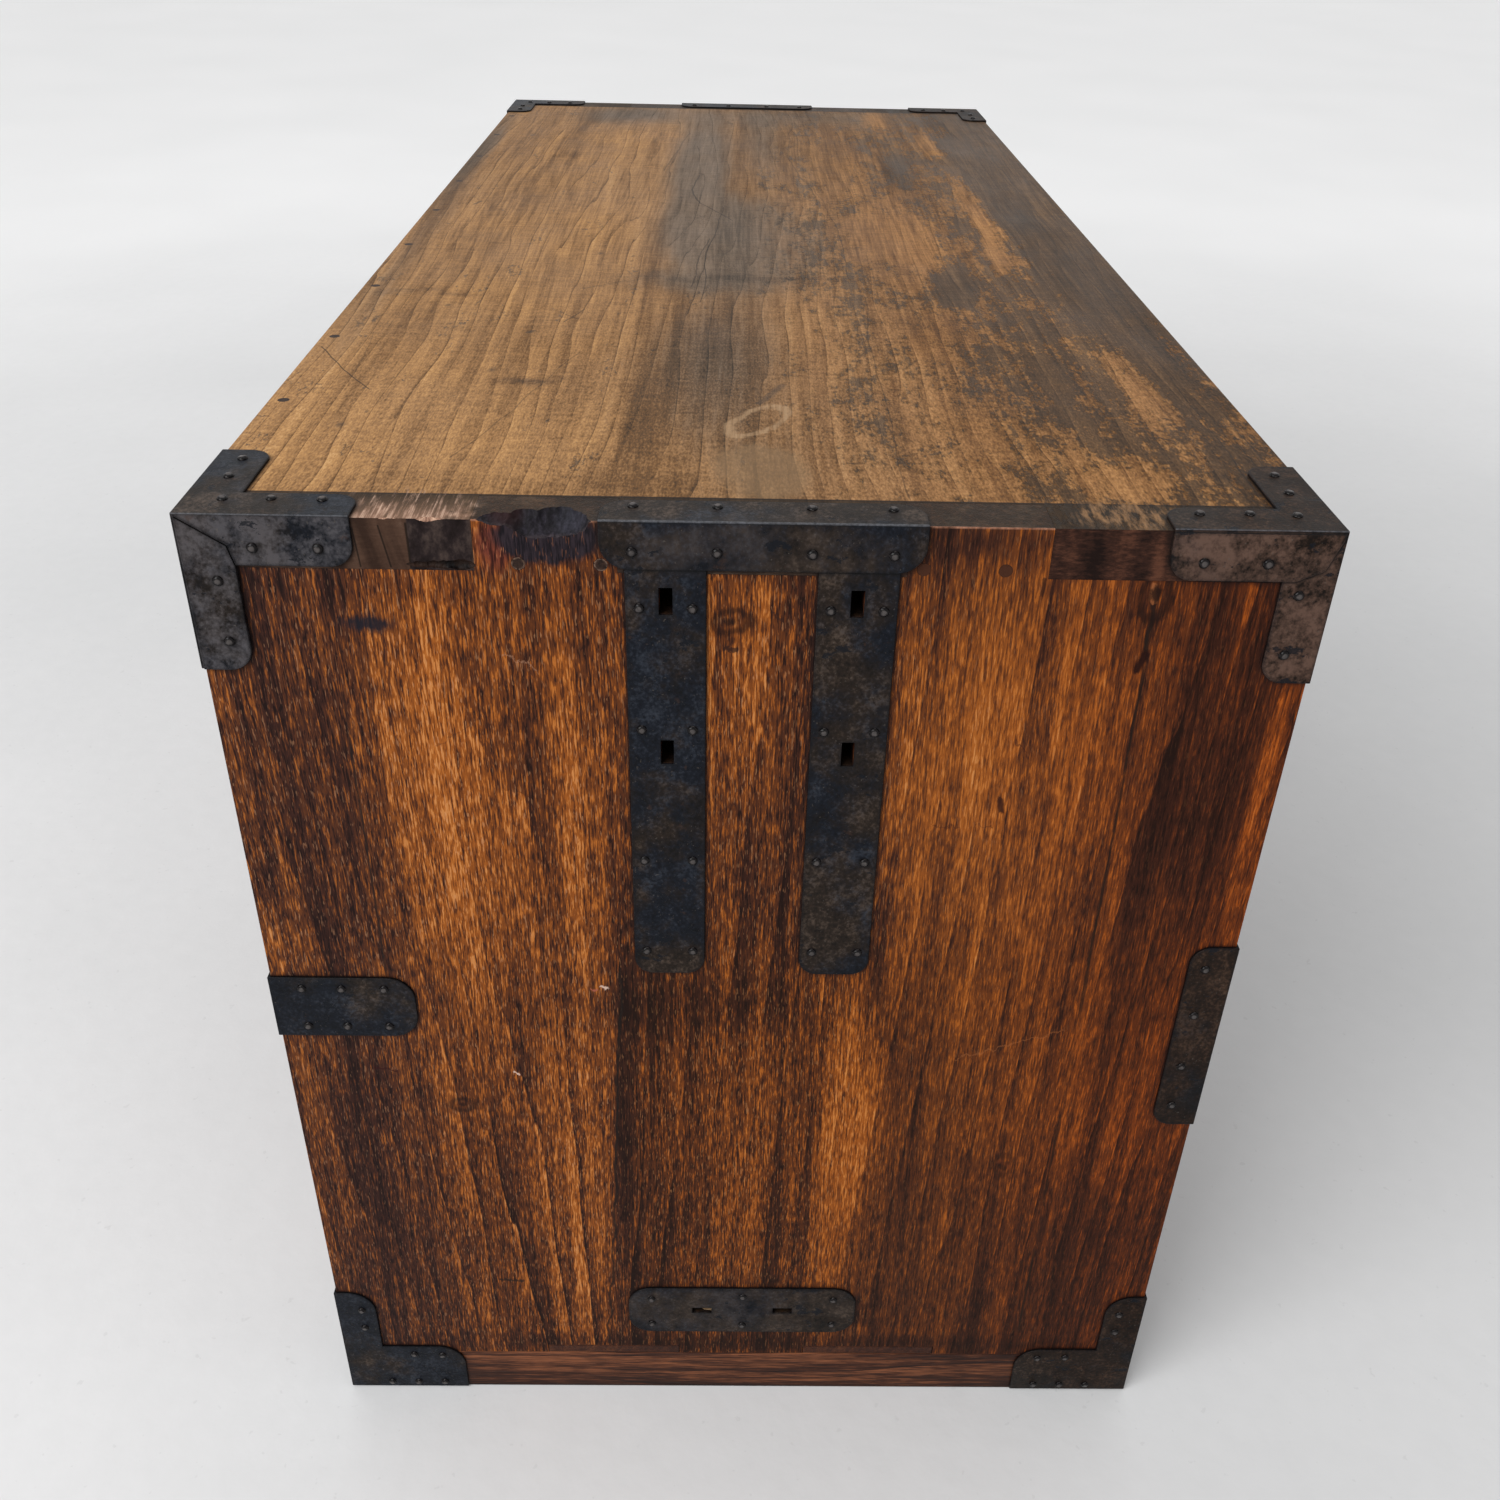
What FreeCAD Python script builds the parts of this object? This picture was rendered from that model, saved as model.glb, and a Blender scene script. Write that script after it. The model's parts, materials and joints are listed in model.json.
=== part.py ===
"""Ship chest (funa dansu): a comb-jointed wooden carcass with iron fittings, one large drawer above
two small drawers and a small locked compartment.

Frame: millimetres, +Z up, +X along the chest, the drawers face -Y. The origin is on the floor,
under the middle of the carcass.
"""

import FreeCAD, Part
import math
import os
import re

import Sketcher

# Driving dimensions, in millimetres. Each one is a cell of the sheet, under its own alias.
DRIVING = {
    # carcass
    "chest_length": 950,
    "chest_depth": 420,
    "chest_height": 510,
    "end_thickness": 22,
    "top_thickness": 20,
    "bottom_thickness": 20,
    "bottom_lift": 16,
    "back_thickness": 12,
    "back_lap": 8,
    "back_plank_count": 3,
    "comb_finger_width": 52,
    "comb_finger_centre": 79,
    "tenon_width": 70,
    "tenon_centre": 68,
    "end_strip_height": 30,
    "end_strip_thickness": 10,
    "batten_width": 30,
    "peg_radius": 2.5,
    "peg_inset": 6,
    "peg_start": 124,
    "peg_spacing": 93,
    "peg_bite": 12,
    "comb_peg_drop": 17,
    "comb_peg_centre": 74,
    "comb_peg_spacing": 30,
    # inner frame
    "large_bay_height": 218,
    "rail_height": 20,
    "rail_depth": 20,
    "stub_length": 6,
    "stub_height": 12,
    "shelf_thickness": 10,
    "dado_depth": 5,
    "divider_thickness": 18,
    "compartment_width": 315,
    "small_rail_height": 16,
    "runner_width": 20,
    "inner_shelf_thickness": 10,
    "inner_shelf_clearance": 6,
    # drawers and door
    "drawer_gap": 1,
    "front_thickness": 20,
    "front_rabbet": 8,
    "side_thickness": 12,
    "side_drop": 3,
    "drawer_back_drop": 12,
    "drawer_bottom_thickness": 8,
    "drawer_back_gap": 12,
    "door_thickness": 18,
    "door_gap": 1.2,
    # sheet iron
    "iron_thickness": 1.2,
    "lap_thickness": 2,
    "band_width": 19,
    "arm_length": 62,
    "arm_radius": 9,
    "mitre_reach": 17,
    "mitre_drop": 11,
    "foot_iron_height": 79,
    "foot_iron_sole": 35,
    "foot_iron_radius": 14,
    "foot_iron_lift": 1,
    "front_strap_height": 108,
    "back_strap_height": 34,
    "back_strap_radius": 12,
    "back_strap_level": 277,
    "edge_strap_length": 119,
    "edge_strap_width": 18,
    "edge_strap_radius": 11,
    "pole_strap_width": 30,
    "pole_strap_reach": 211,
    "pole_strap_spacing": 71,
    "pole_strap_radius": 8,
    "pole_slot_width": 5,
    "pole_slot_height": 11,
    "pole_slot_upper": 31,
    "pole_slot_lower": 97,
    "rest_plate_length": 118,
    "rest_plate_height": 35,
    "rest_plate_level": 67,
    "rest_plate_radius": 12,
    "rest_slot_length": 10,
    "rest_slot_height": 4,
    "rest_slot_spacing": 42,
    "rest_slot_depth": 4,
    "nail_radius": 2.3,
    "nail_height": 1.3,
    "nail_side_count": 8,
    # pulls
    "bail_rod_radius": 3,
    "bail_span": 96,
    "bail_drop": 42,
    "bail_tip": 5,
    "bail_bend": 8,
    "bail_clearance": 1,
    "pin_play": 0.3,
    "large_bail_offset": 260,
    "eye_standoff": 9,
    "eye_radius": 6.5,
    "eye_width": 5,
    "shank_radius": 2.4,
    "clench_radius": 7,
    "rosette_radius": 15,
    "rosette_thickness": 1.5,
    "ring_radius": 17,
    "ring_rod_radius": 2.2,
    # lock of the large drawer
    "lock_plate_width": 112,
    "lock_plate_height": 86,
    "lock_plate_clip": 14,
    "lock_plate_inset": 4,
    "lock_case_width": 70,
    "lock_case_height": 62,
    "lock_case_depth": 16,
    "lock_case_wall": 2,
    "bolt_width": 24,
    "bolt_thickness": 8,
    "bolt_play": 0.5,
    "mortise_depth": 9,
    "keyhole_radius": 3.5,
    "keyhole_slit": 3,
    "keyhole_length": 13,
    # door
    "door_plate_width": 58,
    "door_plate_height": 92,
    "door_plate_inset": 10,
    "door_case_inset": 2,
    "door_case_width": 60,
    "door_case_height": 48,
    "door_case_depth": 14,
    "door_bolt_height": 16,
    "door_bolt_thickness": 6,
    "door_mortise_depth": 9,
    "hinge_height": 28,
    "hinge_margin": 10,
    "hinge_leaf": 34,
    "knuckle_radius": 3,
    "hinge_pin_radius": 1.5,
    "hinge_pin_play": 0.05,
    "knuckle_gap": 0.4,
    "hinge_head": 1.2,
}

# Named places and sizes that follow from the driving dimensions.
DERIVED = {
    "half_length": "chest_length / 2",
    "half_depth": "chest_depth / 2",
    "inner_x": "(half_length - end_thickness)",
    "floor_z": "(bottom_lift + bottom_thickness)",
    "ceiling_z": "(chest_height - top_thickness)",
    "comb_in": "(comb_finger_centre - comb_finger_width / 2)",
    "comb_out": "(comb_finger_centre + comb_finger_width / 2)",
    "tenon_in": "(tenon_centre - tenon_width / 2)",
    "tenon_out": "(tenon_centre + tenon_width / 2)",
    "back_y": "(half_depth - back_thickness)",
    "rail_top": "(ceiling_z - large_bay_height)",
    "rail_bottom": "(rail_top - rail_height)",
    "rail_middle": "(rail_top - rail_height / 2)",
    "rail_back": "(-half_depth + rail_depth)",
    "shelf_bottom": "(rail_top - shelf_thickness)",
    "divider_right": "(inner_x - compartment_width)",
    "divider_left": "(divider_right - divider_thickness)",
    "small_height": "((rail_bottom - floor_z - small_rail_height) / 2)",
    "small_rail_low": "(floor_z + small_height)",
    "small_rail_top": "(small_rail_low + small_rail_height)",
    "inner_shelf_low": "((floor_z + rail_bottom - inner_shelf_thickness) / 2)",
    "drawer_end": "(back_y - drawer_back_gap)",
    "front_inside": "(-half_depth + front_thickness)",
    "eye_y": "(-half_depth - rosette_thickness - eye_standoff)",
    "case_top": "(ceiling_z - drawer_gap - side_drop - lock_case_wall)",
    "case_low": "(case_top - lock_case_height)",
    "key_z": "(ceiling_z - drawer_gap - lock_plate_inset - lock_plate_height / 2)",
    "bolt_y": "(front_inside + bolt_play)",
    "door_left": "(divider_right + door_gap)",
    "door_low": "(floor_z + door_gap)",
    "door_high": "(rail_bottom - door_gap)",
    "door_inside": "(-half_depth + door_thickness)",
    "door_plate_x": "(door_left + door_plate_inset + door_plate_width / 2)",
    "door_plate_z": "((door_low + door_high) / 2)",
    "ring_z": "(door_plate_z + door_plate_height / 4)",
    "door_key_z": "(door_plate_z - door_plate_height / 4)",
    "door_bolt_y": "(door_inside + bolt_play)",
    "hinge_x": "(inner_x - door_gap / 2)",
    "hinge_y": "(-half_depth - knuckle_radius - pin_play)",
}

WORD = re.compile(r"[a-z][a-z_]+")

doc = FreeCAD.newDocument("ShipChest")
sheet = doc.addObject("Spreadsheet::Sheet", "Sizes")
finished = []


def fill_sheet():
    for row, (alias, number) in enumerate(DRIVING.items(), start=1):
        sheet.set(f"A{row}", alias)
        sheet.set(f"B{row}", str(number))
        sheet.setAlias(f"B{row}", alias)
    doc.recompute()


def bound(text):
    """The expression for a formula that is written with bare names."""

    def spelled(found):
        name = found.group(0)
        if name in DERIVED:
            return bound(DERIVED[name])
        return f"Sizes.{name}" if name in DRIVING else name

    return WORD.sub(spelled, str(text))


def value(text):
    """The number that a formula gives with the sheet as it is."""
    return float(sheet.evalExpression(bound(text)))


def bind(item, **formulas):
    """Binds properties to formulas; a double underscore in a name stands for a dot."""
    for name, text in formulas.items():
        item.setExpression(name.replace("__", "."), bound(text))


def keep(item, label):
    """Marks an object of the document as a finished sub-part."""
    item.Label = label
    finished.append(item)
    return item


# ---------------------------------------------------------------- building blocks


def block(name, x, y, z):
    """A board between two x, two y and two z, each given as a formula."""
    board = doc.addObject("Part::Box", name)
    bind(board, Length=f"({x[1]}) - ({x[0]})", Width=f"({y[1]}) - ({y[0]})", Height=f"({z[1]}) - ({z[0]})")
    bind(board, Placement__Base__x=x[0], Placement__Base__y=y[0], Placement__Base__z=z[0])
    return board


def rod(name, axis, centre, radius, start, end):
    """A round bar along X, Y or Z; centre holds its other two coordinates, in X, Y, Z order."""
    bar = doc.addObject("Part::Cylinder", name)
    bind(bar, Radius=radius, Height=f"({end}) - ({start})")
    if axis == "X":
        bar.Placement.Rotation = FreeCAD.Rotation(FreeCAD.Vector(0, 1, 0), 90)
        place = (start, centre[0], centre[1])
    elif axis == "Y":
        bar.Placement.Rotation = FreeCAD.Rotation(FreeCAD.Vector(1, 0, 0), -90)
        place = (centre[0], start, centre[1])
    else:
        place = (centre[0], centre[1], start)
    bind(bar, Placement__Base__x=place[0], Placement__Base__y=place[1], Placement__Base__z=place[2])
    return bar


def group(name, parts):
    """Several separate solids as one object."""
    gathered = doc.addObject("Part::Compound", name)
    gathered.Links = parts
    return gathered


def fuse(name, parts):
    joined = doc.addObject("Part::MultiFuse", name)
    joined.Shapes = parts
    joined.Refine = True
    return joined


def cut(name, base, tools):
    """The base with every tool taken out of it."""
    carved = doc.addObject("Part::Cut", name)
    carved.Base = base
    carved.Tool = tools[0] if len(tools) == 1 else group(name + "_tools", tools)
    return carved


def mirror(name, source, normal=(1, 0, 0)):
    copy = doc.addObject("Part::Mirroring", name)
    copy.Source = source
    copy.Normal = FreeCAD.Vector(*normal)
    return copy


def body(name):
    return doc.addObject("PartDesign::Body", name)


def fix(drawing, kind, places, text):
    """Adds one dimension to a sketch, bound to a formula."""
    index = drawing.addConstraint(Sketcher.Constraint(kind, *places, value(text)))
    drawing.setExpression(f"Constraints[{index}]", bound(text))


def sketch(owner, plane, level, outlines):
    """A sketch of straight outlines, parallel to an origin plane, at a level along its axis.

    Each outline is a list of corner points, and each point a pair of formulas, which
    dimension that corner from the origin.
    """
    drawing = owner.newObject("Sketcher::SketchObject", "Outline")
    base = next(f for f in owner.Origin.OriginFeatures if f.Role == plane + "_Plane")
    drawing.AttachmentSupport = [(base, "")]
    drawing.MapMode = "FlatFace"
    sign = "-" if plane == "XZ" else ""
    bind(drawing, AttachmentOffset__Base__z=f"{sign}({level})")
    for outline in outlines:
        first = drawing.GeometryCount
        spots = [FreeCAD.Vector(value(a), value(b), 0) for a, b in outline]
        count = len(spots)
        for k in range(count):
            drawing.addGeometry(Part.LineSegment(spots[k], spots[(k + 1) % count]))
        for k in range(count):
            joint = Sketcher.Constraint("Coincident", first + k, 2, first + (k + 1) % count, 1)
            drawing.addConstraint(joint)
        for k, (a, b) in enumerate(outline):
            fix(drawing, "DistanceX", (-1, 1, first + k, 1), a)
            fix(drawing, "DistanceY", (-1, 1, first + k, 1), b)
    return drawing


def rectangle(a, b):
    """The outline between two values of each sketch coordinate."""
    return [(a[0], b[0]), (a[1], b[0]), (a[1], b[1]), (a[0], b[1])]


def pad(owner, plane, level, outlines, thickness, outward):
    """Adds material from the level, towards + or - along the plane's axis."""
    drawing = sketch(owner, plane, level, outlines)
    feature = owner.newObject("PartDesign::Pad", "Pad")
    feature.Profile = drawing
    feature.Reversed = (outward < 0) != (plane == "XZ")
    bind(feature, Length=thickness)
    doc.recompute()
    return feature


def pocket(owner, plane, level, outlines, depth, inward):
    """Removes material from the level, towards + or - along the plane's axis."""
    before = owner.Shape.Volume
    drawing = sketch(owner, plane, level, outlines)
    feature = owner.newObject("PartDesign::Pocket", "Pocket")
    feature.Profile = drawing
    feature.Reversed = (inward > 0) != (plane == "XZ")
    bind(feature, Length=depth)
    doc.recompute()
    if not owner.Shape.Volume < before:
        raise RuntimeError(f"a pocket of {owner.Name} cuts nothing")
    return feature


def round_off(owner, plane, corners, radius):
    """Rounds the edges that stand on the given corners of a plane."""
    axes = {"XY": (0, 1), "XZ": (0, 2), "YZ": (1, 2)}[plane]
    spots = [(value(a), value(b)) for a, b in corners]
    tip = owner.Tip
    names = []
    for number, edge in enumerate(tip.Shape.Edges, start=1):
        ends = [tuple(v.Point[k] for k in axes) for v in edge.Vertexes]
        if any(all(math.dist(end, spot) < 0.01 for end in ends) for spot in spots):
            names.append(f"Edge{number}")
    feature = owner.newObject("PartDesign::Fillet", "Rounding")
    feature.Base = (tip, names)
    bind(feature, Radius=radius)
    doc.recompute()
    return feature


# ---------------------------------------------------------------- carcass


def comb(low, high):
    """The two stretches of the comb joint that the end board's fingers fill, along Y."""
    return [(f"-{high}", f"-{low}"), (low, high)]


def top_board():
    """The top, with notches at both ends for the fingers of the end boards."""
    board = body("top_blank")
    full = rectangle(("-half_length", "half_length"), ("-half_depth", "half_depth"))
    pad(board, "XY", "ceiling_z", [full], "top_thickness", +1)
    notches = []
    for y in comb("comb_in", "comb_out"):
        notches.append(rectangle(("-half_length", "-inner_x"), y))
        notches.append(rectangle(("inner_x", "half_length"), y))
    pocket(board, "XY", "chest_height", notches, "top_thickness", -1)
    mortise = rectangle(
        ("-bolt_width / 2 - bolt_play", "bolt_width / 2 + bolt_play"),
        ("bolt_y - bolt_play", "bolt_y + bolt_thickness + bolt_play"),
    )
    pocket(board, "XY", "ceiling_z", [mortise], "mortise_depth", +1)
    return board


def end_board():
    """The left end: comb fingers above, slots for the bottom's tenons, housings for the frame."""
    board = body("end_blank")
    outline = [("-half_depth", "0"), ("half_depth", "0"), ("half_depth", "ceiling_z")]
    for low, high in reversed(comb("comb_in", "comb_out")):
        outline += [(high, "ceiling_z"), (high, "chest_height"), (low, "chest_height"), (low, "ceiling_z")]
    outline.append(("-half_depth", "ceiling_z"))
    pad(board, "YZ", "-half_length", [outline], "end_thickness", +1)
    tenons = [rectangle(y, ("bottom_lift", "floor_z")) for y in comb("tenon_in", "tenon_out")]
    pocket(board, "YZ", "-half_length", tenons, "end_thickness", +1)
    strip = rectangle(("-half_depth", "half_depth"), ("0", "end_strip_height"))
    pocket(board, "YZ", "-half_length", [strip], "end_strip_thickness", +1)
    slots = []
    for centre in ("-pole_strap_spacing / 2", "pole_strap_spacing / 2"):
        slots += pole_slots(centre)
    pocket(board, "YZ", "-half_length", slots, "end_thickness", +1)
    pocket(board, "YZ", "-half_length", rest_slots(), "rest_slot_depth", +1)
    stub = rectangle(
        ("-half_depth + (rail_depth - stub_height) / 2", "-half_depth + (rail_depth + stub_height) / 2"),
        ("rail_middle - stub_height / 2", "rail_middle + stub_height / 2"),
    )
    pocket(board, "YZ", "-inner_x", [stub], "stub_length", -1)
    dado = rectangle(("rail_back", "back_y"), ("shelf_bottom", "rail_top"))
    pocket(board, "YZ", "-inner_x", [dado], "dado_depth", -1)
    return board


def pole_slots(centre):
    """The two upright slots of one pole strap, as outlines in the plane of the end."""
    outlines = []
    for drop in ("pole_slot_upper", "pole_slot_lower"):
        middle = f"chest_height - {drop}"
        across = (f"{centre} - pole_slot_width / 2", f"{centre} + pole_slot_width / 2")
        up = (f"{middle} - pole_slot_height / 2", f"{middle} + pole_slot_height / 2")
        outlines.append(rectangle(across, up))
    return outlines


def rest_slots():
    """The two level slots of the rest plate."""
    outlines = []
    for centre in ("-rest_slot_spacing / 2", "rest_slot_spacing / 2"):
        across = (f"{centre} - rest_slot_length / 2", f"{centre} + rest_slot_length / 2")
        up = ("rest_plate_level - rest_slot_height / 2", "rest_plate_level + rest_slot_height / 2")
        outlines.append(rectangle(across, up))
    return outlines


def bottom_board():
    """The bottom, whose tenons pass through the ends and lap over the end strips."""
    board = body("bottom_board")
    outline = rectangle(("-inner_x", "inner_x"), ("-half_depth", "half_depth"))
    pad(board, "XY", "bottom_lift", [outline], "bottom_thickness", +1)
    tenons, laps = [], []
    for y in comb("tenon_in", "tenon_out"):
        tenons.append(rectangle(("-half_length", "-inner_x"), y))
        tenons.append(rectangle(("inner_x", "half_length"), y))
        laps.append(rectangle(("-half_length", "-half_length + end_strip_thickness"), y))
        laps.append(rectangle(("half_length - end_strip_thickness", "half_length"), y))
    pad(board, "XY", "bottom_lift", tenons, "bottom_thickness", +1)
    pocket(board, "XY", "bottom_lift", laps, "end_strip_height - bottom_lift", +1)
    return board


def back_planks():
    """Three level planks, half-lapped so that no light shows between them."""
    planks = []
    count = int(value("back_plank_count"))
    across, middle = ("-inner_x", "inner_x"), "(half_depth - back_thickness / 2)"
    for k in range(count):
        low = f"(floor_z + (ceiling_z - floor_z) * {k} / {count})"
        high = f"(floor_z + (ceiling_z - floor_z) * {k + 1} / {count})"
        inner_high = high if k == count - 1 else f"{high} + back_lap / 2"
        outer_high = high if k == count - 1 else f"{high} - back_lap / 2"
        inner_low = low if k == 0 else f"{low} + back_lap / 2"
        outer_low = low if k == 0 else f"{low} - back_lap / 2"
        inner = block(f"plank_inner_{k}", across, ("back_y", middle), (inner_low, inner_high))
        outer = block(f"plank_outer_{k}", across, (middle, "half_depth"), (outer_low, outer_high))
        planks.append(fuse(f"plank_{k}", [inner, outer]))
    return group("planks", planks)


def pegs():
    """Wooden pegs: down through the top into the back, and through the comb fingers."""
    made = []
    room = value("inner_x + half_length - peg_start - 4 * peg_radius")
    for k in range(int(room / value("peg_spacing")) + 1):
        x, y = f"-half_length + peg_start + peg_spacing * {k}", "half_depth - peg_inset"
        made.append(rod("peg", "Z", (x, y), "peg_radius", "ceiling_z - peg_bite", "chest_height"))
    ends = {-1: ("-half_length", "-inner_x + peg_bite"), 1: ("inner_x - peg_bite", "half_length")}
    for reach in ends.values():
        for side in "-+":
            for step in "-+":
                y = f"{side}1 * (comb_peg_centre {step} comb_peg_spacing / 2)"
                made.append(rod("peg", "X", (y, "chest_height - comb_peg_drop"), "peg_radius", *reach))
    return group("pegs", made)


def carcass():
    pins = keep(pegs(), "wooden_pegs")
    left = end_board()
    keep(cut("top_cut", top_board(), [pins]), "top_board")
    keep(cut("left_cut", left, [pins]), "left_end_board")
    keep(cut("right_cut", mirror("right_blank", left), [pins]), "right_end_board")
    keep(bottom_board(), "bottom_board")
    keep(cut("back_cut", back_planks(), [pins]), "back_planks")
    strip = block(
        "left_end_strip",
        ("-half_length", "-half_length + end_strip_thickness"),
        ("-half_depth", "half_depth"),
        ("0", "end_strip_height"),
    )
    strips = [strip, mirror("right_end_strip", strip)]
    edge = ("-half_depth", "-half_depth + batten_width")
    front = block("front_batten", ("-inner_x", "inner_x"), edge, ("0", "bottom_lift"))
    between = ("-half_depth + batten_width", "half_depth - batten_width")
    middle = block("middle_batten", ("-batten_width / 2", "batten_width / 2"), between, ("0", "bottom_lift"))
    battens = [front, middle, mirror("back_batten", front, (0, 1, 0))]
    keep(group("base", strips + battens), "base_strips")


def inner_frame():
    """What divides the carcass into one large bay, two small ones and the compartment."""
    front = ("-half_depth", "rail_back")
    rail = block("rail_bar", ("-inner_x", "inner_x"), front, ("rail_bottom", "rail_top"))
    stub = block(
        "rail_stubs",
        ("-inner_x - stub_length", "inner_x + stub_length"),
        ("-half_depth + (rail_depth - stub_height) / 2", "-half_depth + (rail_depth + stub_height) / 2"),
        ("rail_middle - stub_height / 2", "rail_middle + stub_height / 2"),
    )
    keep(fuse("rail", [rail, stub]), "middle_rail")
    shelf_x = ("-inner_x - dado_depth", "inner_x + dado_depth")
    keep(block("shelf", shelf_x, ("rail_back", "back_y"), ("shelf_bottom", "rail_top")), "middle_shelf")
    across, rear = ("divider_left", "divider_right"), ("rail_back", "back_y")
    under_rail = block("divider_front", across, front, ("floor_z", "rail_bottom"))
    under_shelf = block("divider_rear", across, rear, ("floor_z", "shelf_bottom"))
    mortise = block(
        "divider_mortise",
        ("divider_right - door_mortise_depth", "divider_right"),
        ("door_bolt_y - bolt_play", "door_bolt_y + door_bolt_thickness + bolt_play"),
        ("door_key_z - door_bolt_height / 2 - bolt_play", "door_key_z + door_bolt_height / 2 + bolt_play"),
    )
    keep(cut("divider", fuse("divider_board", [under_rail, under_shelf]), [mortise]), "lower_divider")
    level = ("small_rail_low", "small_rail_top")
    small_rail = block("small_rail", ("-inner_x", "divider_left"), front, level)
    left = block("left_runner", ("-inner_x", "-inner_x + runner_width"), rear, level)
    right = block("right_runner", ("divider_left - runner_width", "divider_left"), rear, level)
    keep(group("small_frame", [small_rail, left, right]), "small_drawer_frame")
    depth = ("door_inside + door_case_depth + inner_shelf_clearance", "back_y")
    level = ("inner_shelf_low", "inner_shelf_low + inner_shelf_thickness")
    keep(block("inner_shelf", ("divider_right", "inner_x"), depth, level), "compartment_shelf")


# ---------------------------------------------------------------- sheet iron


OVER_X = "-half_length - iron_thickness"
OVER_Y = "half_depth + iron_thickness"


def upright(side, distance):
    """A formula for a place on the end: its distance in from the front (-1) or back (+1) edge."""
    return f"half_depth - ({distance})" if side > 0 else f"-half_depth + ({distance})"


def top_corner_iron(name, side):
    """One sheet folded over a top corner: an L on the top, and two arms on each upright face.

    At the front the level arm of the end laps over its upright arm. At the back the upright arm
    laps over the level one, and is mitred to the corner.
    """
    iron = body(name)
    out_y = upright(side, "-iron_thickness")
    arm_y, band_y = upright(side, "arm_length"), upright(side, "band_width")
    arm_x, band_x = "-half_length + arm_length", "-half_length + band_width"
    low, tip = "chest_height - band_width", "chest_height - arm_length"
    ell = [(OVER_X, out_y), (arm_x, out_y), (arm_x, band_y)]
    ell += [(band_x, band_y), (band_x, arm_y), (OVER_X, arm_y)]
    pad(iron, "XY", "chest_height", [ell], "iron_thickness", +1)
    face = [(OVER_X, "chest_height"), (arm_x, "chest_height"), (arm_x, low), (band_x, low)]
    face += [(band_x, tip), (OVER_X, tip)]
    pad(iron, "XZ", f"{side} * half_depth", [face], "iron_thickness", side)
    edge_y = upright(side, "0")
    if side < 0:
        under = [(edge_y, "chest_height"), (band_y, "chest_height"), (band_y, tip), (edge_y, tip)]
        over = [(edge_y, "chest_height"), (arm_y, "chest_height"), (arm_y, low)]
        over += [(upright(side, "band_width - arm_radius / 2"), low)]
        over += [(upright(side, "arm_radius / 2"), f"{low} + arm_radius / 2")]
        over += [(edge_y, "chest_height - arm_radius / 4")]
        ends = [((band_y, tip),), ((arm_y, low),)]
    else:
        under = [(edge_y, "chest_height"), (arm_y, "chest_height"), (arm_y, low), (edge_y, low)]
        over = [(edge_y, "chest_height"), (upright(side, "mitre_reach"), "chest_height - mitre_drop")]
        over += [(band_y, low), (band_y, tip), (edge_y, tip)]
        ends = [((arm_y, low),), ((band_y, tip),)]
    pad(iron, "YZ", "-half_length", [under], "iron_thickness", -1)
    pad(iron, "YZ", "-half_length", [over], "lap_thickness", -1)
    round_off(iron, "XY", [(arm_x, band_y), (band_x, arm_y)], "arm_radius")
    round_off(iron, "XZ", [(arm_x, low), (band_x, tip)], "arm_radius")
    round_off(iron, "YZ", [corner for (corner,) in ends], "arm_radius")
    return iron


def foot_corner_iron(name, side):
    """An L at a bottom corner, folded round the upright edge, with a high sole."""
    iron = body(name)
    edge_y = upright(side, "-iron_thickness")
    outline = [("0", "foot_iron_lift"), ("arm_length", "foot_iron_lift"), ("arm_length", "foot_iron_sole")]
    outline += [("band_width", "foot_iron_sole"), ("band_width", "foot_iron_height")]
    outline.append(("0", "foot_iron_height"))
    on_end = [(upright(side, u), w) if u != "0" else (edge_y, w) for u, w in outline]
    on_face = [(f"-half_length + {u}", w) for u, w in outline]
    pad(iron, "YZ", "-half_length", [on_end], "iron_thickness", -1)
    pad(iron, "XZ", f"{side} * half_depth", [on_face], "iron_thickness", side)
    rounded = (2, 4)
    round_off(iron, "YZ", [on_end[k] for k in rounded], "foot_iron_radius")
    round_off(iron, "XZ", [on_face[k] for k in rounded], "foot_iron_radius")
    return iron


def front_strap(name):
    """A strap folded round the front edge at the middle rail, with an arm along the rail."""
    strap = body(name)
    low, high = "rail_middle - front_strap_height / 2", "rail_middle + front_strap_height / 2"
    arm = ("rail_middle - band_width / 2", "rail_middle + band_width / 2")
    band_y, band_x = "-half_depth + band_width", "-half_length + band_width"
    arm_x = "-half_length + arm_length"
    on_end = rectangle((f"-({OVER_Y})", band_y), (low, high))
    on_front = [("-half_length", low), (band_x, low), (band_x, arm[0]), (arm_x, arm[0])]
    on_front += [(arm_x, arm[1]), (band_x, arm[1]), (band_x, high), ("-half_length", high)]
    pad(strap, "YZ", "-half_length", [on_end], "iron_thickness", -1)
    pad(strap, "XZ", "-half_depth", [on_front], "iron_thickness", -1)
    round_off(strap, "YZ", [(band_y, low), (band_y, high)], "arm_radius")
    round_off(strap, "XZ", [(band_x, low), (band_x, high)], "arm_radius")
    round_off(strap, "XZ", [(arm_x, arm[0]), (arm_x, arm[1])], "arm_radius * 0.9")
    return strap


def back_strap(name):
    """A level strap folded round the back edge."""
    strap = body(name)
    level = ("back_strap_level - back_strap_height / 2", "back_strap_level + back_strap_height / 2")
    inner_y, inner_x = "half_depth - arm_length", "-half_length + arm_length"
    pad(strap, "YZ", "-half_length", [rectangle((inner_y, OVER_Y), level)], "iron_thickness", -1)
    pad(strap, "XZ", "half_depth", [rectangle(("-half_length", inner_x), level)], "iron_thickness", +1)
    round_off(strap, "YZ", [(inner_y, level[0]), (inner_y, level[1])], "back_strap_radius")
    round_off(strap, "XZ", [(inner_x, level[0]), (inner_x, level[1])], "back_strap_radius")
    return strap


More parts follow.
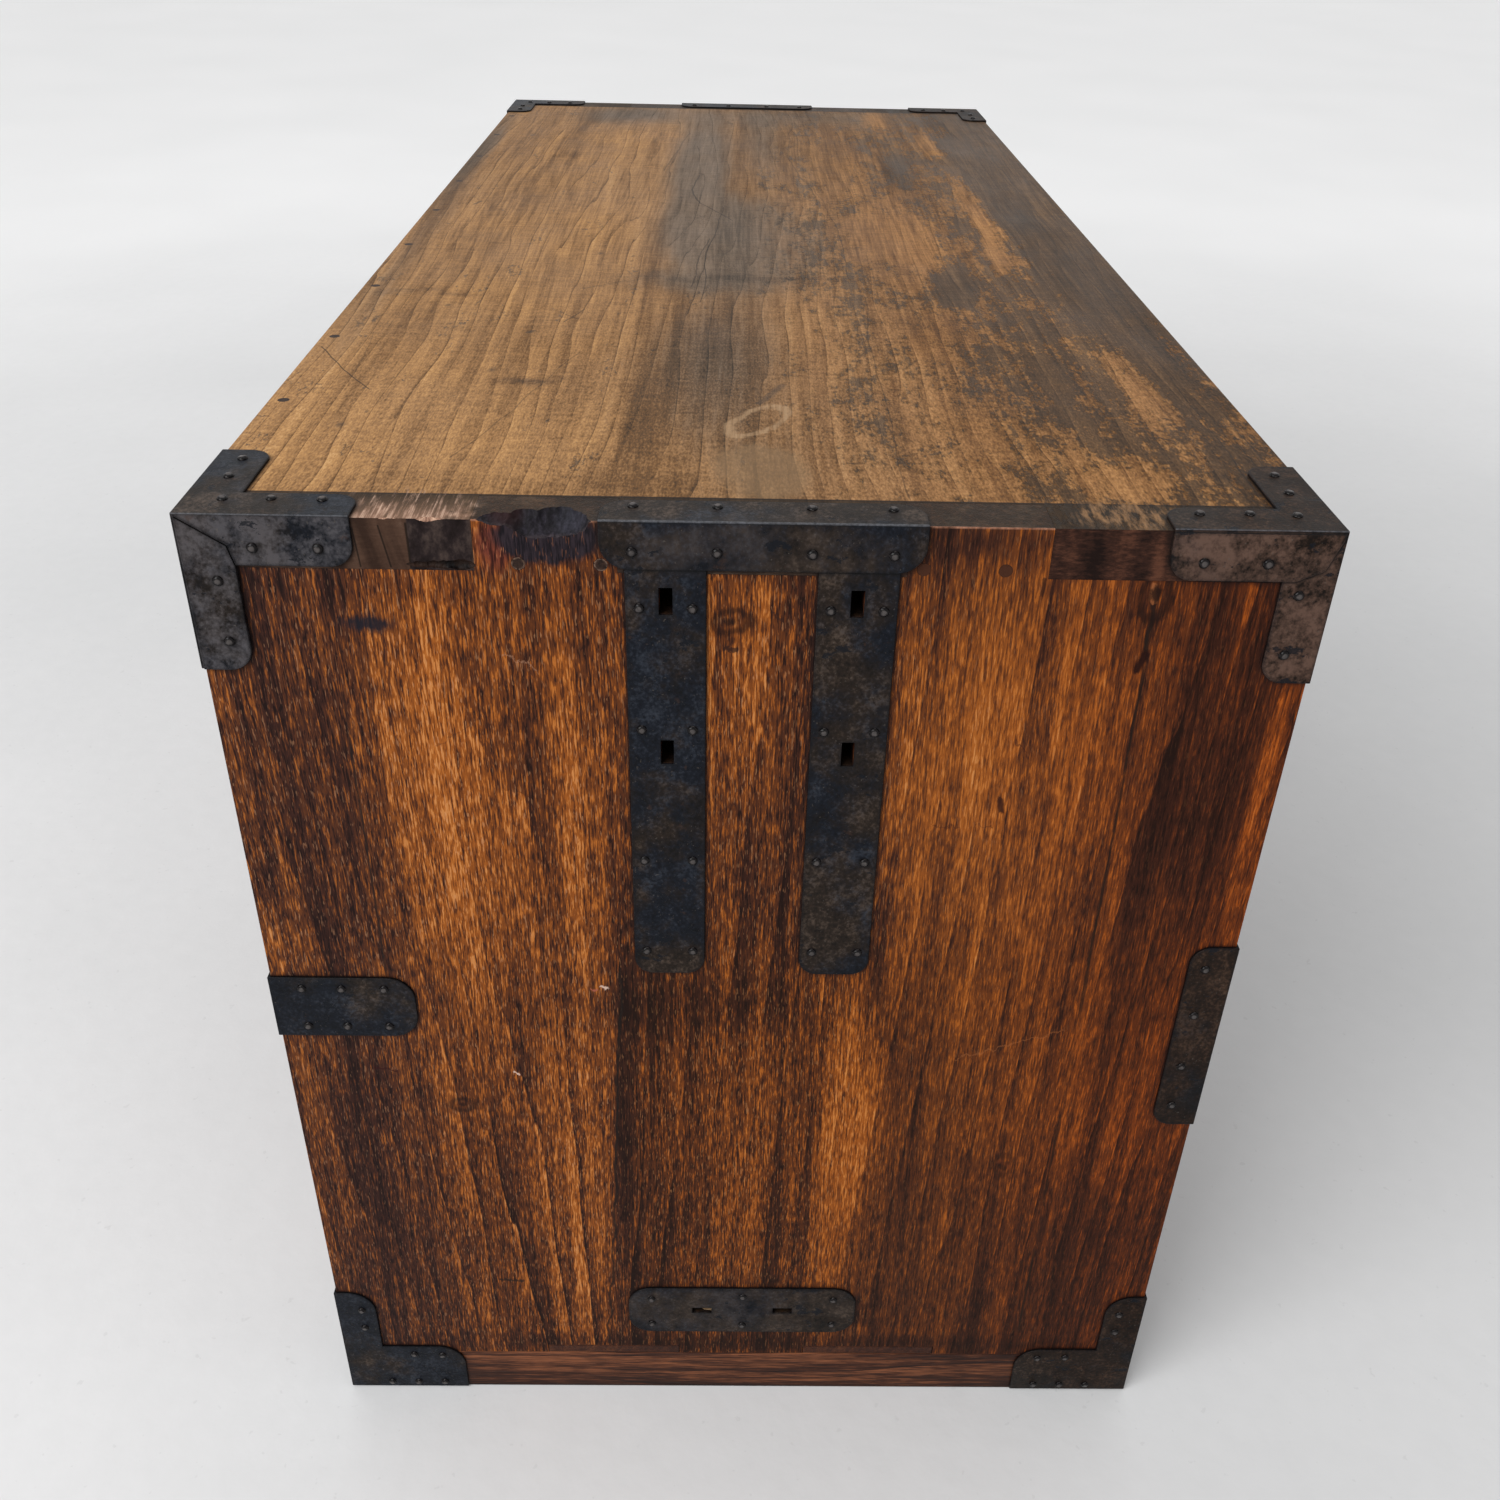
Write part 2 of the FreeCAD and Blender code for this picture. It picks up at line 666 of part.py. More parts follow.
def edge_strap(name):
    """The strap over the middle of the top edge, which laps the heads of the pole straps."""
    strap = body(name)
    across = ("-edge_strap_length / 2", "edge_strap_length / 2")
    inner_x, low = "-half_length + edge_strap_width", "chest_height - edge_strap_width"
    over = "-half_length - lap_thickness"
    on_top = rectangle((over, inner_x), across)
    on_end = rectangle(across, (low, "chest_height"))
    pad(strap, "XY", "chest_height", [on_top], "iron_thickness", +1)
    pad(strap, "YZ", "-half_length", [on_end], "lap_thickness", -1)
    round_off(strap, "XY", [(inner_x, y) for y in across], "edge_strap_radius")
    round_off(strap, "YZ", [(y, low) for y in across], "edge_strap_radius")
    return strap


def pole_straps(name):
    """The two upright straps of an end, slotted for the staples of a carrying handle."""
    low, high = "chest_height - pole_strap_reach", "chest_height - edge_strap_width"
    straps = []
    for centre in ("-pole_strap_spacing / 2", "pole_strap_spacing / 2"):
        strap = body("pole_strap")
        across = (f"{centre} - pole_strap_width / 2", f"{centre} + pole_strap_width / 2")
        pad(strap, "YZ", "-half_length", [rectangle(across, (low, high))], "iron_thickness", -1)
        pocket(strap, "YZ", "-half_length", pole_slots(centre), "iron_thickness", -1)
        round_off(strap, "YZ", [(y, low) for y in across], "pole_strap_radius")
        straps.append(strap)
    return group(name + "_pair", straps)


def rest_plate(name):
    """The plate low on an end, where the foot of the carrying handle was held."""
    plate = body(name)
    across = ("-rest_plate_length / 2", "rest_plate_length / 2")
    up = ("rest_plate_level - rest_plate_height / 2", "rest_plate_level + rest_plate_height / 2")
    pad(plate, "YZ", "-half_length", [rectangle(across, up)], "iron_thickness", -1)
    pocket(plate, "YZ", "-half_length", rest_slots(), "iron_thickness", -1)
    round_off(plate, "YZ", [(y, z) for y in across for z in up], "rest_plate_radius")
    return plate


def sheet_iron():
    """Every iron of the left end, and its mirror image on the right end."""
    pairs = {
        "top_corner_iron_front": lambda n: top_corner_iron(n, -1),
        "top_corner_iron_back": lambda n: top_corner_iron(n, +1),
        "foot_corner_iron_front": lambda n: foot_corner_iron(n, -1),
        "foot_corner_iron_back": lambda n: foot_corner_iron(n, +1),
        "front_strap": front_strap,
        "back_strap": back_strap,
        "edge_strap": edge_strap,
        "pole_straps": pole_straps,
        "rest_plate": rest_plate,
    }
    for name, make in pairs.items():
        iron = keep(make("left_" + name), "left_" + name)
        keep(mirror("right_" + name, iron), "right_" + name)


# ---------------------------------------------------------------- nails


def nail_head(spot, normal):
    """A hand-forged head: a low pyramid of a few sides with a flat top."""
    sides = int(value("nail_side_count"))
    radius, height = value("nail_radius"), value("nail_height")
    rings = []
    for reach, level in ((radius, 0.0), (radius * 0.55, height)):
        turns = [2 * math.pi * k / sides for k in range(sides + 1)]
        points = [FreeCAD.Vector(reach * math.cos(a), reach * math.sin(a), level) for a in turns]
        rings.append(Part.makePolygon(points))
    head = Part.makeLoft(rings, True, True)
    turn = FreeCAD.Rotation(FreeCAD.Vector(0, 0, 1), FreeCAD.Vector(*normal))
    head.Placement = FreeCAD.Placement(FreeCAD.Vector(*spot), turn)
    return head


def end_nail_places():
    """Nails of the left end as (y, z, how far the iron stands off the wood)."""
    top, arm, band = value("chest_height"), value("arm_length"), value("band_width")
    thin, thick = value("iron_thickness"), value("lap_thickness")
    places = []
    for side in (-1, 1):
        edge = side * value("half_depth")
        level, standing = (thick, thin) if side < 0 else (thin, thick)
        for u in (0.42 * arm, 0.8 * arm):
            places.append((edge - side * u, top - 0.62 * band, level))
        for w in (1.3 * band, 0.8 * arm):
            places.append((edge - side * 0.62 * band, top - w, standing))
        sole, tall = value("foot_iron_sole"), value("foot_iron_height")
        for w in (0.83 * tall, 0.65 * tall):
            places.append((edge - side * 0.62 * band, w, thin))
        for u, w in ((0.57 * arm, 0.83 * sole), (0.81 * arm, 0.81 * sole)):
            places.append((edge - side * u, w, thin))
        for u in (0.34 * arm, 0.57 * arm, 0.8 * arm):
            places.append((edge - side * u, 3 + value("nail_radius"), thin))
    front, back = -value("half_depth"), value("half_depth")
    middle, tall = value("rail_middle"), value("front_strap_height")
    for share in (0.39, 0.14, -0.15, -0.38):
        places.append((front + 0.62 * band, middle + share * tall, thin))
    level, half = value("back_strap_level"), value("back_strap_height") / 3.1
    for u in (0.21 * arm, 0.49 * arm, 0.79 * arm):
        places += [(back - u, level + half, thin), (back - u, level - half, thin)]
    long = value("edge_strap_length")
    for share in (-0.4, -0.15, 0.14, 0.4):
        places.append((share * long, top - 0.6 * value("edge_strap_width"), thick))
    for centre in (-value("pole_strap_spacing") / 2, value("pole_strap_spacing") / 2):
        for drop in (0.16, 0.41, 0.71, 0.94):
            for side in (-1, 1):
                y = centre + side * 0.33 * value("pole_strap_width")
                places.append((y, top - drop * value("pole_strap_reach"), thin))
    wide, tall, level = value("rest_plate_length"), value("rest_plate_height"), value("rest_plate_level")
    for y, w in ((-0.4, 0.27), (-0.4, -0.3), (0, -0.33), (0, 0.33), (0.4, 0.27), (0.4, -0.3)):
        places.append((y * wide, level + w * tall, thin))
    return places


def top_nail_places():
    """Nails of the left half of the top, as (x, y)."""
    arm, band, left = value("arm_length"), value("band_width"), -value("half_length")
    places = []
    for side in (-1, 1):
        edge = side * value("half_depth")
        for u, w in ((0.65, 0.22), (0.7, 0.5), (0.68, 0.8)):
            places.append((left + u * band, edge - side * w * arm))
        for u in (0.55, 0.84):
            places.append((left + u * arm, edge - side * 0.5 * band))
    for share in (-0.4, -0.15, 0.14, 0.4):
        places.append((left + 0.65 * value("edge_strap_width"), share * value("edge_strap_length")))
    return places


def face_nail_places(side):
    """Nails of the left half of the front (-1) or the back (+1), as (x, z)."""
    arm, band, left = value("arm_length"), value("band_width"), -value("half_length")
    top, sole, tall = value("chest_height"), value("foot_iron_sole"), value("foot_iron_height")
    places = [(left + u * arm, top - band / 2) for u in (0.45, 0.8)]
    places += [(left + band / 2, top - w * arm) for w in (0.15, 0.45, 0.8)]
    places += [(left + band / 2, w * tall) for w in (0.83, 0.6)]
    places += [(left + u * arm, sole / 2) for u in (0.5, 0.8)]
    if side < 0:
        middle, high = value("rail_middle"), value("front_strap_height")
        places += [(left + band / 2, middle + share * high) for share in (0.4, 0.18, -0.18, -0.4)]
        places += [(left + u * arm, middle) for u in (0.45, 0.8)]
    else:
        level, half = value("back_strap_level"), value("back_strap_height") / 3.1
        places += [(left + u * arm, level + w) for u in (0.21, 0.49, 0.79) for w in (-half, half)]
    return places


def nails():
    """Nail heads, grouped by the face that they are driven into."""
    edge, face, top = value("half_length"), value("half_depth"), value("chest_height")
    thin = value("iron_thickness")
    left = [nail_head((-edge - off, y, z), (-1, 0, 0)) for y, z, off in end_nail_places()]
    right = [nail_head((edge + off, y, z), (1, 0, 0)) for y, z, off in end_nail_places()]
    upper = [nail_head((s * x, y, top + thin), (0, 0, 1)) for x, y in top_nail_places() for s in (1, -1)]
    faces = {}
    for side, name in ((-1, "front_nails"), (1, "back_nails")):
        depth = side * (face + thin)
        spots = [(s * x, depth, z) for x, z in face_nail_places(side) for s in (1, -1)]
        faces[name] = [nail_head(spot, (0, side, 0)) for spot in spots]
    heads = {"left_end_nails": left, "right_end_nails": right}
    heads["carcass_nails"] = upper + faces["front_nails"] + faces["back_nails"]
    for name, solids in heads.items():
        feature = doc.addObject("Part::Feature", name)
        feature.Shape = Part.makeCompound(solids)
        keep(feature, name)


# ---------------------------------------------------------------- drawers


def drawer(name, x, z, eyes, loose_parts):
    """One drawer between two x and two z of its bay: front, sides, back and bottom.

    eyes are the x of its pull's eyes, whose shanks pass through the front. With loose_parts each
    piece is a sub-part of its own; otherwise the box behind the front is one group.
    """
    left, right = f"({x[0]} + drawer_gap)", f"({x[1]} - drawer_gap)"
    low, high = z[0], f"({z[1]} - drawer_gap)"
    eye_z = pull_level(z)
    blank = block(name + "_blank", (left, right), ("-half_depth", "front_inside"), (low, high))
    rabbets = []
    step = ("front_inside - front_rabbet", "front_inside")
    for edge in ((left, f"{left} + side_thickness"), (f"{right} - side_thickness", right)):
        rabbets.append(block(name + "_rabbet", edge, step, (low, high)))
    for eye in eyes:
        rabbets.append(rod(name + "_hole", "Y", (eye, eye_z), "shank_radius", "-half_depth", "front_inside"))
    if loose_parts:
        rabbets += keyhole("-half_depth", "front_inside")
    keep(cut(name + "_board", blank, rabbets), name + "_front")
    side_high = f"({high} - side_drop)"
    reach = ("front_inside - front_rabbet", "drawer_end")
    sides = []
    for edge in ((left, f"{left} + side_thickness"), (f"{right} - side_thickness", right)):
        sides.append(block(name + "_side", edge, reach, (low, side_high)))
    inner = (f"{left} + side_thickness", f"{right} - side_thickness")
    back_low, back_high = f"{low} + drawer_bottom_thickness", f"{side_high} - drawer_back_drop"
    back = block(name + "_rear", inner, ("drawer_end - side_thickness", "drawer_end"), (back_low, back_high))
    bottom = block(name + "_floor", inner, ("front_inside", "drawer_end"), (low, back_low))
    if loose_parts:
        keep(group(name + "_pair", sides), name + "_sides")
        keep(back, name + "_back")
        keep(bottom, name + "_bottom")
    else:
        keep(group(name + "_case", sides + [back, bottom]), name + "_box")


def pull_level(z):
    """The height of the eyes of a drawer's pull: a little above the middle of its front."""
    return f"(({z[0]} + {z[1]}) / 2 + bail_drop / 2)"


def eye(name, x, z, rod_radius):
    """A rosette and an eye whose shank is clenched behind the board."""
    face = "(-half_depth - rosette_thickness)"
    rosette = rod(name + "_rosette", "Y", (x, z), "rosette_radius", face, "-half_depth")
    hole = rod(name + "_hole", "Y", (x, z), "shank_radius", face, "-half_depth")
    bored = bored_eye(name, x, z, "front_inside", f"{rod_radius} + pin_play")
    return [cut(name + "_plate", rosette, [hole]), bored]


def bored_eye(name, x, z, inside, bore_radius):
    """A flat-sided eye in front of a board, with its shank clenched on the board's inside."""
    face = "(-half_depth - rosette_thickness)"
    wide = (f"{x} - eye_width / 2", f"{x} + eye_width / 2")
    head = rod(name + "_round", "X", ("eye_y", z), "eye_radius", *wide)
    tall = (f"{z} - eye_radius * 0.6", f"{z} + eye_radius * 0.6")
    neck = block(name + "_neck", wide, ("eye_y", face), tall)
    shank = rod(name + "_shank", "Y", (x, z), "shank_radius", face, inside)
    clench = rod(name + "_clench", "Y", (x, z), "clench_radius", inside, f"{inside} + iron_thickness")
    bore = rod(name + "_bore", "X", ("eye_y", z), bore_radius, f"{x} - eye_width", f"{x} + eye_width")
    return cut(name + "_eye", fuse(name + "_solid", [head, neck, shank, clench]), [bore])


def bail(name, x, z):
    """A drop handle: a round rod whose ends turn in through the two eyes."""
    handle = body(name)
    outer = "(bail_span / 2 + eye_width / 2 + bail_clearance + bail_bend)"
    inner = "(bail_span / 2 - eye_width / 2 - bail_tip)"
    foot = f"{z} - bail_drop"
    path = sketch(handle, "XZ", "eye_y", [])
    tips = [f"{x} - {inner}", f"{x} + {inner}"]
    legs = [f"{x} - {outer}", f"{x} + {outer}"]
    left = [(tips[0], z), (legs[0], z), (legs[0], foot)]
    bent_path(path, left + [(legs[1], foot), (legs[1], z), (tips[1], z)])
    section = sketch(handle, "YZ", tips[0], [])
    centre = FreeCAD.Vector(value("eye_y"), value(z), 0)
    section.addGeometry(Part.Circle(centre, FreeCAD.Vector(0, 0, 1), value("bail_rod_radius")))
    fix(section, "DistanceX", (-1, 1, 0, 3), "eye_y")
    fix(section, "DistanceY", (-1, 1, 0, 3), z)
    fix(section, "Radius", (0,), "bail_rod_radius")
    doc.recompute()
    pipe = handle.newObject("PartDesign::AdditivePipe", "Rod")
    pipe.Profile = section
    pipe.Spine = path
    doc.recompute()
    return handle


def bent_path(drawing, corners):
    """An open path of level and upright runs, joined by tangent arcs of one radius."""
    spots = [FreeCAD.Vector(value(a), value(b), 0) for a, b in corners]
    radius = value("bail_bend")
    start = spots[0]
    for before, corner, after in zip(spots, spots[1:], spots[2:]):
        back, ahead = (before - corner).normalize(), (after - corner).normalize()
        enter, leave = corner + back * radius, corner + ahead * radius
        middle = corner + (back + ahead) * radius * (1 - math.sqrt(0.5))
        drawing.addGeometry(Part.LineSegment(start, enter))
        drawing.addGeometry(Part.Arc(enter, middle, leave))
        start = leave
    drawing.addGeometry(Part.LineSegment(start, spots[-1]))
    runs = range(0, drawing.GeometryCount, 2)
    for number, run in enumerate(runs):
        if spots[number].y == spots[number + 1].y:
            drawing.addConstraint(Sketcher.Constraint("Horizontal", run))
            fix(drawing, "DistanceY", (-1, 1, run, 1), corners[number][1])
        else:
            drawing.addConstraint(Sketcher.Constraint("Vertical", run))
            fix(drawing, "DistanceX", (-1, 1, run, 1), corners[number][0])
    for bend in range(1, drawing.GeometryCount, 2):
        arc, run = drawing.Geometry[bend], drawing.Geometry[bend - 1]
        enters = 1 if arc.StartPoint.isEqual(run.EndPoint, 1e-6) else 2
        drawing.addConstraint(Sketcher.Constraint("Tangent", bend - 1, 2, bend, enters))
        drawing.addConstraint(Sketcher.Constraint("Tangent", bend, 3 - enters, bend + 1, 1))
        fix(drawing, "Radius", (bend,), "bail_bend")
    fix(drawing, "DistanceX", (-1, 1, 0, 1), corners[0][0])
    fix(drawing, "DistanceX", (-1, 1, runs[-1], 2), corners[-1][0])


def pull(name, x, z):
    """The two eyes of a pull, as separate solids."""
    solids = []
    for number, place in enumerate((f"({x} - bail_span / 2)", f"({x} + bail_span / 2)")):
        solids += eye(f"{name}_{number}", place, z, "bail_rod_radius")
    return solids


def drawers():
    large_x, large_z = ("-inner_x", "inner_x"), ("rail_top", "ceiling_z")
    offsets = {"left": "(-large_bail_offset)", "right": "large_bail_offset"}
    eyes = [f"({x} {sign} bail_span / 2)" for x in offsets.values() for sign in "-+"]
    drawer("large_drawer", large_x, large_z, eyes, True)
    level = pull_level(large_z)
    mounts = []
    for side, x in offsets.items():
        mounts += pull(f"large_{side}", x, level)
        keep(bail(f"large_{side}_bail", x, level), f"large_drawer_{side}_bail")
    keep(group("large_eyes", mounts), "large_drawer_eyes")
    small_x = ("-inner_x", "divider_left")
    middle = "((-inner_x + divider_left) / 2)"
    bays = {"upper": ("small_rail_top", "rail_bottom"), "lower": ("floor_z", "small_rail_low")}
    for name, z in bays.items():
        eyes = [f"({middle} {sign} bail_span / 2)" for sign in "-+"]
        drawer(f"{name}_small_drawer", small_x, z, eyes, False)
        keep(group(f"{name}_eyes", pull(name, middle, pull_level(z))), f"{name}_small_drawer_eyes")
        keep(bail(f"{name}_bail", middle, pull_level(z)), f"{name}_small_drawer_bail")


# ---------------------------------------------------------------- lock of the large drawer


def keyhole(near, far, x="0", z="key_z"):
    """The tools of a keyhole between two y: a round hole with a slit below it."""
    hole = rod("keyhole_round", "Y", (x, z), "keyhole_radius", near, far)
    across = (f"{x} - keyhole_slit / 2", f"{x} + keyhole_slit / 2")
    slit = block("keyhole_slit", across, (near, far), (f"{z} - keyhole_length", z))
    return [fuse("keyhole", [hole, slit])]


def clipped_plate(name, x, z, width, height, clip):
    """A plate on the front with its four corners clipped, as an outline padded forward."""
    plate = body(name)
    w, h = f"{width} / 2", f"{height} / 2"
    corners = []
    for sx, sz, first in ((-1, -1, True), (1, -1, False), (1, 1, True), (-1, 1, False)):
        level = (f"{x} + {sx} * ({w})", f"{z} + {sz} * ({h} - {clip})")
        across = (f"{x} + {sx} * ({w} - {clip})", f"{z} + {sz} * ({h})")
        corners += [level, across] if first else [across, level]
    pad(plate, "XZ", "-half_depth", [corners], "rosette_thickness", -1)
    return plate


def large_lock():
    """The lock of the large drawer: its plate, its case behind the front and a rising bolt."""
    size = ("lock_plate_width", "lock_plate_height", "lock_plate_clip")
    plate = clipped_plate("lock_blank", "0", "key_z", *size)
    holes = keyhole("-half_depth - rosette_thickness", "-half_depth")
    keep(cut("lock_plate", plate, holes), "large_drawer_lock_plate")
    across = ("-lock_case_width / 2", "lock_case_width / 2")
    deep = ("front_inside", "front_inside + lock_case_depth")
    slot = (
        ("-bolt_width / 2 - bolt_play", "bolt_width / 2 + bolt_play"),
        ("front_inside", "bolt_y + bolt_thickness + bolt_play"),
        ("case_top - lock_case_wall", "case_top"),
    )
    case = lock_case("lock_case", across, deep, ("case_low", "case_top"), slot)
    keep(case, "large_drawer_lock_case")
    bolt = block(
        "bolt",
        ("-bolt_width / 2", "bolt_width / 2"),
        ("bolt_y", "bolt_y + bolt_thickness"),
        ("case_low + lock_case_wall", "case_top"),
    )
    keep(bolt, "large_drawer_lock_bolt")


def lock_case(name, x, y, z, slot):
    """A box of thin walls, open towards the board that it is fixed to, with a slot for its bolt."""
    wall = "lock_case_wall"
    shell = block(name + "_shell", x, y, z)
    inside = (f"{x[0]} + {wall}", f"{x[1]} - {wall}"), (y[0], f"{y[1]} - {wall}")
    cavity = block(name + "_cavity", *inside, (f"{z[0]} + {wall}", f"{z[1]} - {wall}"))
    return cut(name, shell, [cavity, block(name + "_slot", *slot)])


# ---------------------------------------------------------------- door of the compartment


def hinge_levels():
    """The middle height of each of the two hinges, between the foot iron and the front strap."""
    low = "(foot_iron_height + hinge_margin + hinge_height / 2)"
    high = "(rail_middle - front_strap_height / 2 - hinge_margin - hinge_height / 2)"
    return [low, high]


def hinge_half(name, level, side):
    """One leaf with its knuckles: the fixed one (+1) has two, the door's (-1) has the middle one."""
    third = "hinge_height / 3"
    low = f"({level} - hinge_height / 2)"
    bands = [(f"{low}", f"{low} + {third} - knuckle_gap / 2")]
    bands += [(f"{low} + {third} + knuckle_gap / 2", f"{low} + 2 * {third} - knuckle_gap / 2")]
    bands += [(f"{low} + 2 * {third} + knuckle_gap / 2", f"{low} + hinge_height")]
    own = (0, 2) if side > 0 else (1,)
    clear = "knuckle_radius + pin_play"
    reach = "end_thickness - door_gap - 2" if side > 0 else "hinge_leaf"
    front = ("-half_depth - iron_thickness", "-half_depth")
    spans = [(f"hinge_x + {side} * ({clear})", f"hinge_x + {side} * ({reach})")]
    spans += [(f"hinge_x + {side} * door_gap / 2", f"hinge_x + {side} * ({clear})")]
    if side < 0:
        spans = [(b, a) for a, b in spans]
    leaf = [block(name + "_leaf", spans[0], front, (low, f"{low} + hinge_height"))]
    bores = []
    for k in own:
        leaf.append(block(name + "_tongue", spans[1], front, bands[k]))
        leaf.append(rod(name + "_knuckle", "Z", ("hinge_x", "hinge_y"), "knuckle_radius", *bands[k]))
        bore = "hinge_pin_radius + hinge_pin_play"
        bores.append(rod(name + "_bore", "Z", ("hinge_x", "hinge_y"), bore, *bands[k]))
    return cut(name, fuse(name + "_solid", leaf), bores)


def hinge_pin(name, level):
    """A pin with a flat head that rests on the upper knuckle."""
    low, high = f"({level} - hinge_height / 2)", f"({level} + hinge_height / 2)"
    axis = ("hinge_x", "hinge_y")
    shaft = rod(name + "_shaft", "Z", axis, "hinge_pin_radius", low, high)
    head = rod(name + "_head", "Z", axis, "knuckle_radius * 0.9", high, f"{high} + hinge_head")
    return fuse(name, [shaft, head])


def door():
    """The compartment's door with its two hinges, lock and ring."""
    x, outside, face = "door_plate_x", "-half_depth - rosette_thickness", "-half_depth"
    right = "inner_x - door_gap"
    board = block("door_blank", ("door_left", right), (face, "door_inside"), ("door_low", "door_high"))
    shank = rod("door_eye_hole", "Y", (x, "ring_z"), "shank_radius", face, "door_inside")
    keyway = keyhole(face, "door_inside", x, "door_key_z")
    keep(cut("door_board", board, [shank] + keyway), "door_panel")
    size = ("door_plate_width", "door_plate_height", "arm_radius")
    plate = clipped_plate("door_plate", x, "door_plate_z", *size)
    holes = keyhole(outside, face, x, "door_key_z")
    holes.append(rod("plate_hole", "Y", (x, "ring_z"), "shank_radius", outside, face))
    keep(cut("door_plate_cut", plate, holes), "door_lock_plate")
    door_lock()
    keep(bored_eye("ring", x, "ring_z", "door_inside", "ring_rod_radius + 2 * pin_play"), "door_ring_eye")
    ring = doc.addObject("Part::Torus", "ring")
    bind(ring, Radius1="ring_radius", Radius2="ring_rod_radius")
    ring.Placement.Rotation = FreeCAD.Rotation(FreeCAD.Vector(1, 0, 0), 90)
    bind(ring, Placement__Base__x=x, Placement__Base__y="eye_y")
    bind(ring, Placement__Base__z="ring_z - ring_radius")
    keep(ring, "door_ring")
    fixed = [hinge_half(f"fixed_{k}", level, +1) for k, level in enumerate(hinge_levels())]
    moving = [hinge_half(f"moving_{k}", level, -1) for k, level in enumerate(hinge_levels())]
    pins = [hinge_pin(f"pin_{k}", level) for k, level in enumerate(hinge_levels())]
    keep(group("fixed_leaves", fixed), "door_hinge_fixed_leaves")
    keep(group("moving_leaves", moving), "door_hinge_moving_leaves")
    keep(group("pins", pins), "door_hinge_pins")


def door_lock():
    """The lock behind the door: a case near its free edge, and a bolt that slides to the divider."""
    left, wall = "(door_left + door_case_inset)", "lock_case_wall"
    across = (left, f"{left} + door_case_width")
    deep = ("door_inside", "door_inside + door_case_depth")
    level = ("door_key_z - door_case_height / 2", "door_key_z + door_case_height / 2")
    thick = ("door_bolt_y", "door_bolt_y + door_bolt_thickness")
    tall = ("door_key_z - door_bolt_height / 2", "door_key_z + door_bolt_height / 2")
    slot = (
        (left, f"{left} + {wall}"),
        ("door_inside", f"{thick[1]} + bolt_play"),
        (f"{tall[0]} - bolt_play", f"{tall[1]} + bolt_play"),
    )
    keep(lock_case("door_case", across, deep, level, slot), "door_lock_case")
    reach = f"{left} + door_case_width - {wall} - door_mortise_depth"
    keep(block("door_bolt", (left, reach), thick, tall), "door_lock_bolt")


# ---------------------------------------------------------------- checks and files


def check(item):
    """Stops the build if an object failed or its shape isn't made of valid solids."""
    shape = item.Shape
    if shape.isNull() or not shape.isValid() or not shape.Solids:
        raise RuntimeError(f"{item.Label} has no valid shape")


def write_files():
    doc.recompute()
    for item in doc.Objects:
        if {"Invalid", "Error"} & set(item.State):
            raise RuntimeError(f"{item.Label} failed: {item.State}")
    os.makedirs("parts", exist_ok=True)
    for item in finished:
        check(item)
        item.Shape.exportStep(f"parts/{item.Label}.step")


fill_sheet()
carcass()
inner_frame()
sheet_iron()
nails()
drawers()
large_lock()
door()
write_files()
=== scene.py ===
"""The ship chest's looks: its woods, irons and nails, a pale floor, soft light and the camera.

Metres, in the row's frame: +X along the chest, -Y out of its drawers, +Z up. The end that the
camera sees is at -X, and its left is the chest's back.
"""
import json
import math
import random

import bmesh
import bpy
from mathutils import Matrix, Vector, noise


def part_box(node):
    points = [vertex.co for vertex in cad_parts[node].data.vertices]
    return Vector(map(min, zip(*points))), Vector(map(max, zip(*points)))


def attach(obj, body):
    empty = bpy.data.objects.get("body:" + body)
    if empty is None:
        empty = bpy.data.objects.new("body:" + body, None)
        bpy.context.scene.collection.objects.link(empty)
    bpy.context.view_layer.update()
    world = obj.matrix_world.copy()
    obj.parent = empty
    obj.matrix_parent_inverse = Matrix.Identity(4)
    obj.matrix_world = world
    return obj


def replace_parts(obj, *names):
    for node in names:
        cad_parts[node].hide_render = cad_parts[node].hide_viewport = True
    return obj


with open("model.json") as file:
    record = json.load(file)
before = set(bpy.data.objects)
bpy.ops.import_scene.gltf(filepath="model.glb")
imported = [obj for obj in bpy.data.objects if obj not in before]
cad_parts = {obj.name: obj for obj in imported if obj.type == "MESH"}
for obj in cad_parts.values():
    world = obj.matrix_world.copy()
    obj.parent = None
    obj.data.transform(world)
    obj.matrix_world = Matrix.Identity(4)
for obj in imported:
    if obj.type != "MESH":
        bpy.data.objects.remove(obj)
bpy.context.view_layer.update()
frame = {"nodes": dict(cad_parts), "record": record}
nodes = frame["nodes"]

MM = 0.001


def mm(*lengths):
    return tuple(length * MM for length in lengths)


# The planes of the near end's face and of the top's face, read from the frame.
END_LOW, END_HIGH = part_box("left_end_board")
NEAR_X = END_LOW.x
TOP_Z = END_HIGH.z


# ---- Material graphs ----

class Field:
    """A number that varies over a surface. It takes ordinary arithmetic."""

    def __init__(self, graph, socket):
        self.graph = graph
        self.socket = socket

    def size(self):
        """Its distance from nought."""
        return self.graph.math("ABSOLUTE", self)

    def clamped(self):
        """The same, kept between 0 and 1."""
        return self.graph.math("ADD", self, 0, clamp=True)

    def step(self, low, high):
        """0 below low, 1 above high, with a smooth rise between. It falls if low is over high."""
        return self.graph.step(self, low, high)

    def step_mm(self, low, high):
        """The same, from limits in millimetres."""
        return self.graph.step(self, low * MM, high * MM)

    def saw(self):
        """Its part after the point: a slow rise and a sudden fall, over and over."""
        return self.graph.math("FRACT", self)

    def swing(self, strength):
        """Noise about 0.5, turned into a change about 0."""
        return (self - 0.5) * strength

    def gate(self, strength, level):
        """Noise about 0.5, turned into a share about a level."""
        return (self.swing(strength) + level).clamped()


